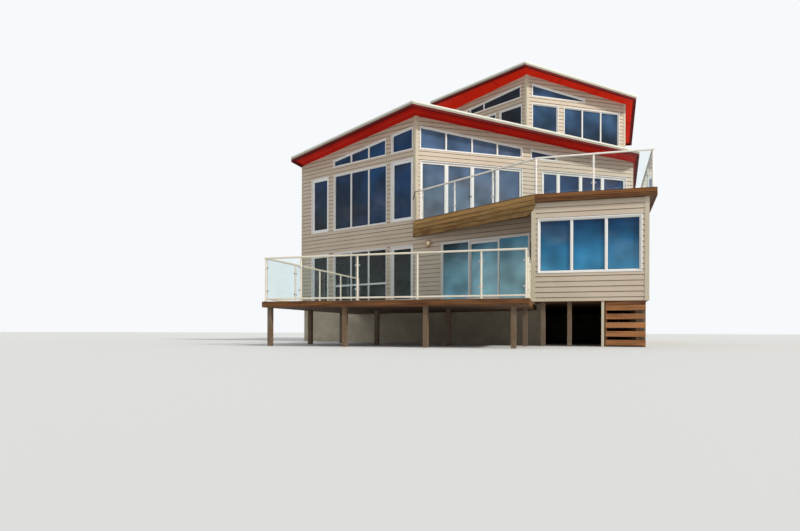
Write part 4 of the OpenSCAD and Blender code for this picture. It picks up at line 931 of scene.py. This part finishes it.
doorFoot, doorTop, member = *doorUnit[2:4], doorShape["member"]
panelFrom, panelTo = bayEnds[1] - doorShape["overlap"], bayEnds[2] + doorShape["overlap"]
fixedPanes = (paneQuads(unitAt(bayEnds[0], bayEnds[1] + doorShape["overlap"], doorFoot, doorTop))
              + paneQuads(unitAt(bayEnds[2] - doorShape["overlap"], bayEnds[3], doorFoot, doorTop)))
paneFoot, paneHead = doorFoot + doorShape["panelFoot"] + member, doorTop - doorShape["panelDrop"] - member
panelPane = [(panelFrom + member, paneFoot), (panelTo - member, paneFoot),
             (panelTo - member, paneHead), (panelFrom + member, paneHead)]
fixedBead = [(0.0, 0.012), (0.0, 0.028), (0.013, 0.028), (0.013, 0.02), (0.009, 0.014)]
fixedSeal = [(0.011, 0.026), (0.011, 0.0287), (0.018, 0.0287), (0.017, 0.027)]
panelBead = [(0.0, 0.063), (0.0, 0.074), (0.014, 0.074), (0.014, 0.069), (0.010, 0.064)]
panelSeal = [(0.012, 0.071), (0.012, 0.0747), (0.019, 0.0747), (0.018, 0.072)]
for name, quads, profile, key, body in (("terraceDoorBeads", fixedPanes, fixedBead, "frame", houseBody),
                                        ("terraceDoorSeals", fixedPanes, fixedSeal, "seal", houseBody),
                                        ("terracePanelBeads", [panelPane], panelBead, "frame", panelBody),
                                        ("terracePanelSeals", [panelPane], panelSeal, "seal", panelBody)):
    addShapes(name, [ringMesh(corner, left, quads, profile)], key, "frame_paint", body=body)
pullShape = {
    "place": (0.036, 0.92),  # in from the panel's edge, and up
    # each part's width, height, corner radius, lowest edge and steps, then its depths in the wall
    "parts": [((0.034, 0.19, 0.016, 0.0, 5), (0.0615, 0.0588)), ((0.022, 0.166, 0.010, 0.012, 5), (0.0600, 0.0582))],
}
pullAt = np.array([panelTo - pullShape["place"][0], doorFoot + pullShape["place"][1]])
addShapes("terracePanelPull", [extrudeShape(roundRect(*sizes) + pullAt, corner, left, *depths)
                               for sizes, depths in pullShape["parts"]], "dark", "frame_paint", body=panelBody)
print("terrace door made")


# Roofs: caps over the edge boards, a red lower board, ribs, flashings, joints in the lining

def coverProfile(half, deep):
    # A low bevelled strip under the lining
    return [(-half, 0.002), (-half, 0.003 - deep), (0.004 - half, -deep), (half - 0.004, -deep), (half, 0.003 - deep),
            (half, 0.002)]


eaves = {"main": 0.55, "mainSide": 0.17, "top": 0.5, "topFar": 0.95, "topSide": 0.4, "topLeft": 0.52}
roofShape = {
    # profiles of (inwards, up) from an edge's outline and the lining's plane
    "cap": [(0.114, 0.136), (0.114, 0.147), (0.109, 0.151), (-0.026, 0.154), (-0.036, 0.151), (-0.040, 0.144),
            (-0.040, 0.098), (-0.046, 0.092), (-0.043, 0.088), (-0.032, 0.092), (-0.024, 0.104), (-0.024, 0.142),
            (0.10, 0.142)],
    "face": [(-0.029, 0.030), (-0.036, 0.030), (-0.036, 0.112), (-0.029, 0.112)],
    "lower": [(-0.034, -0.058), (-0.034, 0.036), (-0.029, 0.041), (0.0, 0.0), (0.022, -0.004), (0.09, -0.004),
              (0.09, -0.016), (0.0, -0.018), (-0.018, -0.058)],
    "strap": [(-0.0415, 0.100), (-0.0415, 0.145), (-0.037, 0.153), (-0.026, 0.1565), (0.108, 0.1535), (0.108, 0.149),
              (-0.024, 0.150), (-0.036, 0.143), (-0.036, 0.100)],
    "flashing": [(0.0015, 0.13), (0.0015, 0.26), (0.006, 0.262), (0.012, 0.15), (0.15, 0.149), (0.158, 0.1375)],
    "batten": coverProfile(0.022, 0.009), "strip": coverProfile(0.016, 0.008),
    "ribPitch": 0.19, "ribWidth": 0.028, "ribHeight": 0.013, "ribClear": 0.122, "wallClear": 0.165,
    "ribShift": 0.05, "ribSink": 0.002, "ribTaper": 0.005, "mainRibTurn": 100.4, "topRibTurn": 81.0,
    "jointPitch": 1.8, "jointStart": 0.095, "jointEnd": 0.03, "mainStripIn": 0.30, "topStripIn": 0.24,
    "strapPitch": 2.9, "strapHalf": 0.03,
}
mainNear = meet(corner + eaves["main"] * outOf(left), left, corner + eaves["main"] * outOf(deckT), deckT)
mainFar = leftEnd + eaves["main"] * outOf(left)
mainSide, mainRear = atX(plan["rightX"] + eaves["mainSide"]), atY(wingRear[1] + eaves["mainSide"])
mainOutline = np.array([
    mainFar, mainNear, meet(mainNear, deckT, mainSide, 90), meet(block, deckT, mainSide, 90), block, blockLeft,
    [blockLeft[0], mainRear[1]], meet(mainFar, 90 + left, mainRear, 0)])
topFar = blockLeft + eaves["topFar"] * outOf(topLeftT)
topNear = meet(block + eaves["top"] * outOf(topLeftT), topLeftT, block + eaves["top"] * outOf(deckT), deckT)
topTurn = math.degrees(math.atan2(topNear[1] - topFar[1], topNear[0] - topFar[0]))
topLeftX, topRightX = blockLeft[0] - eaves["topSide"], blockRight[0] + eaves["topSide"]
topRearY = plan["rearY"] + eaves["topSide"]
topOutline = np.array([
    meet(topFar, topTurn, atX(topLeftX), 90), topNear, meet(topNear, deckT, atX(topRightX), 90),
    [topRightX, topRearY], [topLeftX, topRearY]])
mainEdge = np.concatenate([mainOutline[[6, 7, 0, 1, 2, 3]], [blockRight]])
wallEdge = np.concatenate([[blockRight], mainOutline[[4, 5, 6]]])


def roofSweep(path, part, under, closed=False):
    return sweepShape(path, roofShape[part], closed, under)


def placesAlong(path, pitch, closed=False):
    # Places set out evenly along each side of a path, clear of its corners, each with the side's direction
    found = []
    for a, b in zip(path if closed else path[:-1], np.roll(path, -1, 0)):
        length = np.linalg.norm(b - a)
        count = max(1, round(length / pitch))
        found += [(a + (b - a) * k / count, (b - a) / length) for k in range(1, count)]
    return found


def capShapes(path, under, closed=False):
    # The cap along an edge, with a strap over each of its joints
    half = roofShape["strapHalf"]
    return [roofSweep(path, "cap", under, closed)] + [
        roofSweep(np.array([p - half * u, p + half * u]), "strap", under)
        for p, u in placesAlong(path, roofShape["strapPitch"], closed)]


addShapes("mainRoofCap", capShapes(mainEdge, mainUnder), "cap", "edge_paint")
addShapes("mainRoofLowerBoard", [roofSweep(mainEdge, "lower", mainUnder)], "redEdge", "red_lining")
# The grey face below each cap is painted shade
addShapes("roofFaces", [roofSweep(mainEdge, "face", mainUnder), roofSweep(topOutline, "face", topUnder, True)],
          "edge", "edge_paint")
addShapes("topRoofCap", capShapes(topOutline, topUnder, True), "cap", "edge_paint")
addShapes("topRoofLowerBoard", [roofSweep(topOutline, "lower", topUnder, True)], "redEdge", "red_lining")
addShapes("roofFlashing", [roofSweep(wallEdge, "flashing", mainUnder)], "cap", "edge_paint")


def addRibs(name, outline, distances, turn, under):
    strips = clipRuns(moveSides(outline, distances), turn, roofShape["ribPitch"], roofShape["ribWidth"],
                      roofShape["ribShift"])
    blocks = stripBlocks(strips, lambda p: under(p) + roofs["over"] - roofShape["ribSink"],
                         lambda p: under(p) + roofs["over"] + roofShape["ribHeight"], roofShape["ribTaper"])
    addBlocks(name, blocks, "roof", "roof_sheet")


ribClear, wallClear = roofShape["ribClear"], roofShape["wallClear"]
addRibs("mainRoofRibs", mainOutline, [ribClear] * 3 + [wallClear] * 3 + [ribClear] * 2, roofShape["mainRibTurn"],
        mainUnder)
addRibs("topRoofRibs", topOutline, [ribClear] * 5, roofShape["topRibTurn"], topUnder)


def liningJoints(edge, depths, under):
    # Short cover battens across the eaves of the sides that have a depth
    shapes = []
    for k, wide in depths.items():
        a, b = edge[k], edge[(k + 1) % len(edge)]
        for p, unit in placesAlong(np.array([a, b]), roofShape["jointPitch"]):
            inner = np.array([-unit[1], unit[0]])
            ends = [p + inner * roofShape["jointStart"], p + inner * (wide - roofShape["jointEnd"])]
            shapes.append(roofSweep(np.array(ends), "batten", under))
    return shapes


mainDepths = {0: eaves["main"], 1: eaves["main"]}
topDepths = {1: eaves["top"], 2: eaves["topSide"], 3: eaves["topSide"], 4: eaves["topSide"], 0: eaves["topLeft"]}
addShapes("liningBattens", liningJoints(mainOutline, mainDepths, mainUnder)
          + liningJoints(topOutline, topDepths, topUnder), "red", "red_lining")
addShapes("liningStrips", [
    roofSweep(offsetPath(mainEdge[1:5], roofShape["mainStripIn"]), "strip", mainUnder),
    roofSweep(offsetPath(topOutline[:3], roofShape["topStripIn"]), "strip", topUnder)], "redStrip", "red_lining")
print("roofs made")


# Decks: boards on the floors, planks round their edges

deckShape = {"board": 0.09, "pitch": 0.094, "thick": 0.012, "plank": 0.014, "gap": 0.005, "edgeTurn": -34.9,
             "edgeOut": 0.035, "rightX": 7.6, "cornerOut": 0.0145, "backIn": -0.075, "clear": 0.0005, "taper": 0.003,
             "headGap": 0.001,
             "terracePlank": (-0.0005, -0.018, -0.15, -0.001),  # near, far, low, high
             # how far each side of a floor's outline is moved in, and where the first board starts
             "deckIn": [-0.056, -0.056, -0.056, -0.004, 0.028], "deckShift": 0.047,
             "terraceIn": [-0.028, -0.028, -0.028, 0.026, 0.028], "terraceShift": 0.021}
terraceLeftX, terraceRightX, terraceFrontY, terraceBackY = -2.56, 4.564, -6.215, 0.879
edgeWay = way(deckShape["edgeTurn"])
deckCorner = np.array([4.4290, -3.245])
deckRight = np.array([[deckShape["rightX"], deckCorner[1]], [deckShape["rightX"], deckWallEnd[1]]])
deckOutline = np.array([corner, deckCorner, *deckRight, deckWallEnd])
terraceOutline = np.array([[terraceLeftX, terraceBackY], [terraceLeftX, terraceFrontY],
                           [terraceRightX, terraceFrontY], frontLeft, frontJoint])
deckLeftLength = apart(corner, deckCorner)
edgeNear, edgeFar = -deckShape["edgeOut"] - deckShape["clear"], -deckShape["edgeOut"] - deckShape["plank"]


def lifted(path, z):
    return np.column_stack([path, np.full(len(path), z)])


def addFloorBoards(name, outline, distances, shift, floor):
    # Boards along X on a floor, each a little narrower at its top
    strips = clipRuns(moveSides(outline, distances), 0.0, deckShape["pitch"], deckShape["board"], shift)
    under, top = level(floor + deckShape["clear"]), level(floor + deckShape["thick"])
    addBlocks(name, stripBlocks(strips, under, top, deckShape["taper"]), "deck", "deck_timber")


def arcEnd(h):
    # Where the left edge ends at a height below the deck: on the arc at its foot, on the mitre above it
    radius = planks["sideDepth"] - planks["frontDepth"]
    t = np.clip((h + planks["sideDepth"]) / radius, 0, 1)
    return deckLeftLength + deckShape["cornerOut"] - radius * (1 - np.sqrt(1 - (1 - t) ** 2))


def sidePlanks():
    # Planks along the deck's left edge, cut to the arc
    shapes = []
    lines, back = np.linspace(-planks["sideDepth"], 0.0, planks["sideCount"] + 1), deckShape["backIn"]
    for lowLine, highLine in zip(lines[:-1], lines[1:]):
        h = np.linspace(lowLine + deckShape["gap"] / 2, highLine - deckShape["gap"] / 2, 9)
        outline = np.concatenate([np.stack([arcEnd(h), deckFloor + h], 1),
                                  [(back, deckFloor + h[-1]), (back, deckFloor + h[0])]])
        shapes.append(extrudeShape(outline, corner, deckShape["edgeTurn"], edgeNear, edgeFar))
    return shapes


def plankProfile(near, far, low, high, bevel=0.003):
    return [(near, low), (far + bevel, low), (far, low + bevel), (far, high - bevel), (far + bevel, high), (near, high)]


addFloorBoards("deckBoards", deckOutline, deckShape["deckIn"], deckShape["deckShift"], deckFloor)
addBoards("deckSidePlanks", sidePlanks(), [(*edgeWay, 0)] * planks["sideCount"], "sideFascia", "deck_timber")
frontPath = lifted([deckCorner - [deckShape["cornerOut"], 0], *deckRight], deckFloor)
halfDepth, halfGap = planks["frontDepth"] / 2, deckShape["gap"] / 2
plankEnds = ((-2 * halfDepth, -halfDepth - halfGap), (halfGap - halfDepth, -deckShape["headGap"]))
frontPlanks = [shape for low, high in plankEnds
               for shape in segmentShapes(frontPath, plankProfile(edgeNear, edgeFar, low, high))]
addBoards("deckEdgePlanks", frontPlanks, [(1, 0, 0), (0, 1, 0)] * 2, "fascia", "deck_timber")
addFloorBoards("terraceBoards", terraceOutline, deckShape["terraceIn"], deckShape["terraceShift"], terraceFloor)
addBoards("terraceEdgePlanks", segmentShapes(lifted(terraceOutline[:4], terraceFloor),
                                             plankProfile(*deckShape["terracePlank"])),
          [(0, 1, 0), (1, 0, 0), (0, 1, 0)], "fascia", "deck_timber")
print("decks made")


# Rails: a rounded crown on each handrail, post feet and collars, glass clamps

railShape = {
    "deckTop": 5.36, "terraceTop": 2.41, "terraceLow": 1.3, "in": 0.06, "deckStart": 0.33,
    "sidePosts": (0.0, 1.65, 3.38), "frontPost": 1.56, "terracePosts": (1.055, 1.621),  # first place and pitch
    "deckClamps": (4.52, 5.08), "terraceClamps": (1.48, 2.10), "boltRing": 0.041, "longer": 0.006,
    "clampHalf": 0.014, "clampEnds": (0.024, 0.072), "clampHigh": 0.045,
    # the rails' sections: width, height, corner radius, lowest edge and steps
    "crown": (0.067, 0.047, 0.016, -0.0435, 5), "lowCrown": (0.045, 0.045, 0.008, -0.0425, 4),
    "foot": [(0.003, 0.0), (0.052, 0.0), (0.052, 0.007), (0.048, 0.010), (0.030, 0.011), (0.0275, 0.030),
             (0.0255, 0.032), (0.003, 0.032)],
    "collar": [(0.003, -0.055), (0.0255, -0.055), (0.029, -0.05), (0.029, -0.042), (0.003, -0.042)],
    "bolt": [(0.001, 0.006), (0.006, 0.006), (0.0065, 0.0125), (0.0045, 0.0155), (0.001, 0.016)],
}
upward = (0, 0, 1)


def evenly(a, b, count):
    return a + (b - a) * np.arange(count + 1)[:, None] / count


def stretched(path, more):
    # A path made longer by that much at both ends
    first, last = path[1] - path[0], path[-1] - path[-2]
    return np.concatenate([[path[0] - more * first / np.linalg.norm(first)], path[1:-1],
                           [path[-1] + more * last / np.linalg.norm(last)]])


deckLine = moveSides(deckOutline, [railShape["in"]] * 3 + [0, 0])
railStart = deckLine[1] - (deckLeftLength - railShape["deckStart"]) * edgeWay
railEnd = np.array([deckLine[2][0], deckWallEnd[1] - railShape["in"]])
deckPosts = np.concatenate([
    railStart + np.array(railShape["sidePosts"])[:, None] * edgeWay, [deckLine[1]],
    [deckLine[1] + [railShape["frontPost"], 0]], evenly(deckLine[2], railEnd, 4)])
terraceSide, terraceEnd = moveSides(terraceOutline, [railShape["in"]] * 3 + [0, 0])[1:3]
terraceWallY = meet(corner, left, atX(terraceLeftX), 90)[1]
terraceBack = np.array([terraceSide[0], terraceWallY - 2 * railShape["in"]])
terraceFinish = frontLeft - railShape["in"]
firstPost, postPitch = railShape["terracePosts"]
terracePosts = np.concatenate([
    evenly(terraceBack, terraceSide, 4), terraceSide + [firstPost, 0] + np.arange(4)[:, None] * [postPitch, 0],
    evenly(terraceEnd, terraceFinish, 2)])
deckPath = stretched(np.array([railStart, deckLine[1], deckLine[2], railEnd]), railShape["longer"])
terracePath = np.array([terraceBack, terraceSide, terraceEnd, terraceFinish])
crown, lowCrown = (roundRect(*railShape[part]) for part in ("crown", "lowCrown"))
addShapes("deckHandrail", [sweepShape(lifted(deckPath, railShape["deckTop"]), crown)], "deckRail", "rail_paint")
longerPath = stretched(terracePath, railShape["longer"])
addShapes("terraceHandrails", [sweepShape(lifted(longerPath, railShape["terraceTop"]), crown),
                               sweepShape(lifted(terracePath, railShape["terraceLow"]), lowCrown)],
          "rail", "rail_paint")
railRows = [(deckPosts, deckFloor + deckShape["thick"], railShape["deckTop"], railShape["deckClamps"]),
            (terracePosts, terraceFloor + deckShape["thick"], railShape["terraceTop"], railShape["terraceClamps"])]
addShapes("railPostFeet", [revolveShape(railShape[part], (*p, z), upward) for posts, floor, top, _ in railRows
                           for p in posts for part, z in (("foot", floor), ("collar", top))], "rail", "rail_paint")


def clampBlocks(posts, heights):
    # Small blocks that hold each sheet of glass at its ends, on both sides of every post between
    found = []
    near, far = railShape["clampEnds"]
    for a, b in zip(posts[:-1], posts[1:]):
        u = (b - a) / np.linalg.norm(b - a)
        n = railShape["clampHalf"] * np.array([-u[1], u[0]])
        for p, s in ((a, 1), (b, -1)):
            inner, outer = p + s * near * u, p + s * far * u
            square = np.array([inner - n, outer - n, outer + n, inner + n])
            found += [np.concatenate([lifted(square, z), lifted(square, z + railShape["clampHigh"])]) for z in heights]
    return found


addBlocks("glassClamps", [clamp for posts, _, _, heights in railRows for clamp in clampBlocks(posts, heights)],
          "steel", "rail_paint", bevel=0.004)
addShapes("postBolts", [revolveShape(railShape["bolt"], (*(p + railShape["boltRing"] * way(turn)), floor), upward, 8)
                        for posts, floor, _, _ in railRows for p in posts for turn in (45, 135, 225, 315)],
          "steel", "rail_paint")


def rodShape(a, b, radius, chamfer=0.002):
    # A rod between two points with small chamfers at its ends
    length = np.linalg.norm(b - a)
    return revolveShape([(0.001, 0.0), (radius - chamfer, 0.0), (radius, chamfer), (radius, length - chamfer),
                         (radius - chamfer, length), (0.001, length)], a, b - a, 10)


# The deck rail's start is tied to the corner by a dark rod, with a short stay sloping down the left wall
tieShape = {
    # the places of the bend and the stay's foot are out from the wall, along it from the corner, and up
    "startZ": 5.325, "bend": (0.05, 0.03, 5.315), "foot": (0.034, -0.075, 5.085), "rod": 0.011, "stay": 0.013,
    "knuckle": [(0.001, -0.018), (0.011, -0.015), (0.018, 0.0), (0.011, 0.015), (0.001, 0.018)],
    "rosette": [(0.001, 0.0), (0.026, 0.0), (0.026, 0.006), (0.022, 0.009), (0.001, 0.009)], "rosetteIn": 0.014,
}
wallOut, wallWay = outOf(left), way(left)
tieStart = np.array([*railStart, tieShape["startZ"]])
tieBend, tieFoot = (np.array([*(corner + out * wallOut + on * wallWay), z])
                    for out, on, z in (tieShape["bend"], tieShape["foot"]))
rosetteAt = tieFoot - tieShape["rosetteIn"] * np.array([*wallOut, 0])
addShapes("railTie", [rodShape(tieStart, tieBend, tieShape["rod"]), rodShape(tieBend, tieFoot, tieShape["stay"]),
                      revolveShape(tieShape["knuckle"], tieBend, upward, 12),
                      revolveShape(tieShape["rosette"], rosetteAt, (*wallOut, 0), 16)], "dark", "rail_paint")
print("rails made")


# Under the front room: bevelled slats between uprights, and a slim pale post

slatShape = {"x": (6.33, 7.37), "y": -3.175, "thick": 0.04, "high": 0.15, "pitch": 0.24, "top": 1.0, "count": 5,
             "head": (1.16, 1.26), "uprights": (0.0, 0.81), "upright": 0.04, "post": (0.105, 0.03),
             "postDepth": (-0.004, 0.041), "screws": (0.04, 0.11),  # up from a slat's foot
             "screw": [(0.001, -0.001), (0.006, -0.001), (0.005, 0.0025), (0.001, 0.003)]}
x0, x1 = slatShape["x"]
y0, y1 = slatShape["y"], slatShape["y"] + slatShape["thick"]
headFoot, headTop = slatShape["head"]
slatFeet = [slatShape["top"] - k * slatShape["pitch"] for k in range(slatShape["count"])]


def box8(xa, xb, ya, yb, za, zb):
    # The corners of an upright block, for addBlocks
    return np.array([(x, y, z) for z in (za, zb) for x, y in ((xa, ya), (xb, ya), (xb, yb), (xa, yb))])


slats = [box8(x0, x1, y0, y1, headFoot, headTop)] + [box8(x0, x1, y0, y1, z, z + slatShape["high"]) for z in slatFeet]
wide = slatShape["upright"]
uprights = [box8(x0 + d, x0 + d + wide, y1, y1 + wide, 0.0, headTop) for d in slatShape["uprights"]]
addBlocks("frontSlats", slats + uprights, "slat", "brown_timber", bevel=0.005, replaces=("underfloor_slats",),
          along=np.array([(1.0, 0, 0)] * len(slats) + [(0, 0, 1.0)] * len(uprights)))
addShapes("slatScrews", [revolveShape(slatShape["screw"], (x0 + d + wide / 2, y0, foot + up), (0, -1, 0), 8)
                         for d in slatShape["uprights"] for foot in slatFeet for up in slatShape["screws"]],
          "steel", "brown_timber")
(postFrom, postTo), (postFront, postBack) = slatShape["post"], slatShape["postDepth"]
addBlocks("slatPost", [box8(x0 - postFrom, x0 - postTo, y0 + postFront, y0 + postBack, 0.0, headTop)],
          "trim", "trim_paint", bevel=0.004)
print("slats made")


# Wall light and deck door handles

lightShape = {
    "along": 0.60, "z": 3.456, "steps": 40,
    "lens": [(0.002, 0.064), (0.089, 0.066), (0.084, 0.074), (0.066, 0.083), (0.038, 0.089), (0.002, 0.091)],
    "rim": [(0.088, 0.070), (0.120, 0.066), (0.1215, 0.076), (0.115, 0.0845), (0.094, 0.088), (0.0885, 0.080)],
    "plate": [(0.01, -0.001), (0.128, -0.001), (0.128, 0.010), (0.122, 0.014), (0.111, 0.016), (0.01, 0.016)],
}
lightCentre = (*(corner + lightShape["along"] * wallWay), lightShape["z"])
lens, rim, plate = (revolveShape(lightShape[part], lightCentre, (*wallOut, 0), lightShape["steps"])
                    for part in ("lens", "rim", "plate"))
rimFaces = tubeFaces(lightShape["steps"], len(lightShape["rim"]), True)
addShapes("lightLens", [lens], "lamp", "light_shade", smooth=True)
addShapes("lightRim", [(rim[0], rimFaces), plate], "lampRim", "light_shade")

handleShape = {
    "along": (2.13, 6.63), "z": 1.0, "in": 0.018, "reach": 0.045, "lever": (0.0, -0.06, -0.12),
    "bar": (0.016, 0.018, 0.007, -0.009),
    "rose": [(0.002, 0.0), (0.024, 0.0), (0.024, 0.006), (0.020, 0.009), (0.009, 0.010), (0.009, 0.045),
             (0.002, 0.047)],
}


def handleShapes(p, turn, place, z):
    # A lever on a round rose: the rose with its neck, and a rounded bar
    rose = np.array([*(p + place * way(turn)), z])
    axis, side = np.array([*outOf(turn), 0.0]), np.array([*way(turn), 0.0])
    bar = np.array([rose + axis * handleShape["reach"] + s * side for s in handleShape["lever"]])
    return [revolveShape(handleShape["rose"], rose, axis, 16),
            sweepShape(bar, roundRect(*handleShape["bar"]))]


addShapes("deckDoorHandles", [shape for place in handleShape["along"] for shape in handleShapes(
    corner - handleShape["in"] * outOf(deckT), deckT, place, deckFloor + handleShape["z"])], "dark", "frame_paint")
print("light and handles made")


# Camera as the photograph's

view = {"place": (6.147, -21.322, 0.40), "turn": 17.585, "roll": -0.0028, "lens": 28.16, "sensor": 36, "shiftY": 0.0827,
        "farthest": 300}
cameraData = bpy.data.cameras.new("camera")
cameraData.sensor_width, cameraData.lens = view["sensor"], view["lens"]
cameraData.shift_y, cameraData.clip_end = view["shiftY"], view["farthest"]
camera = addObject("camera", cameraData)
camera.location = view["place"]
camera.rotation_euler = (math.pi / 2, view["roll"], math.radians(view["turn"]))
bpy.context.scene.camera = camera


# Studio: pale floor, pale surround, one large soft lamp from the front right

studio = {"floorColor": (0.64, 0.64, 0.63, 1), "reach": 150, "surround": (0.93, 0.95, 0.97, 1), "fill": 0.66,
          "fillColor": (0.93, 0.96, 1.0, 1), "sun": 2.6, "sunColor": (1.0, 0.96, 0.88), "sunAngle": 5.0,
          "sunFrom": (0.74, -0.28, 0.61)}
floorMaterial, _, shader = newMaterial("studioFloor")
setInputs(shader, {"Base Color": studio["floorColor"], "Roughness": 0.9})
floorMesh = bpy.data.meshes.new("studioFloor")
floorMesh.from_pydata([(x * studio["reach"], y * studio["reach"], 0) for x, y in ((-1, -1), (1, -1), (1, 1), (-1, 1))],
                      [], [(0, 1, 2, 3)])
floorMesh.materials.append(floorMaterial)
addObject("studioFloor", floorMesh)

# The surround is seen at its own brightness, and lights the house with another
world = bpy.data.worlds.new("studioWorld")
world.use_nodes = True
bpy.context.scene.world = world
tree = world.node_tree
tree.nodes.clear()
rays = shaderNode(tree, "LightPath").outputs
seen = maths(tree, "MAXIMUM", rays["Is Camera Ray"], rays["Is Glossy Ray"])
seen = maths(tree, "MAXIMUM", seen, rays["Is Transmission Ray"])
lightSide = shaderNode(tree, "Background", {"Color": studio["fillColor"], "Strength": studio["fill"]})
seenSide = shaderNode(tree, "Background", {"Color": studio["surround"], "Strength": 1.0})
mixSides = shaderNode(tree, "MixShader", {"Fac": seen, 1: lightSide.outputs["Background"],
                                          2: seenSide.outputs["Background"]})
shaderNode(tree, "OutputWorld", {"Surface": mixSides.outputs["Shader"]})

sunData = bpy.data.lights.new("sun", "SUN")
sunData.energy, sunData.color, sunData.angle = studio["sun"], studio["sunColor"], math.radians(studio["sunAngle"])
toSun = np.array(studio["sunFrom"]) / np.linalg.norm(studio["sunFrom"])
addObject("sun", sunData).rotation_euler = (math.acos(toSun[2]), 0, math.atan2(toSun[1], toSun[0]) + math.pi / 2)
bpy.context.scene.view_settings.view_transform = "Standard"
print("camera and studio made")
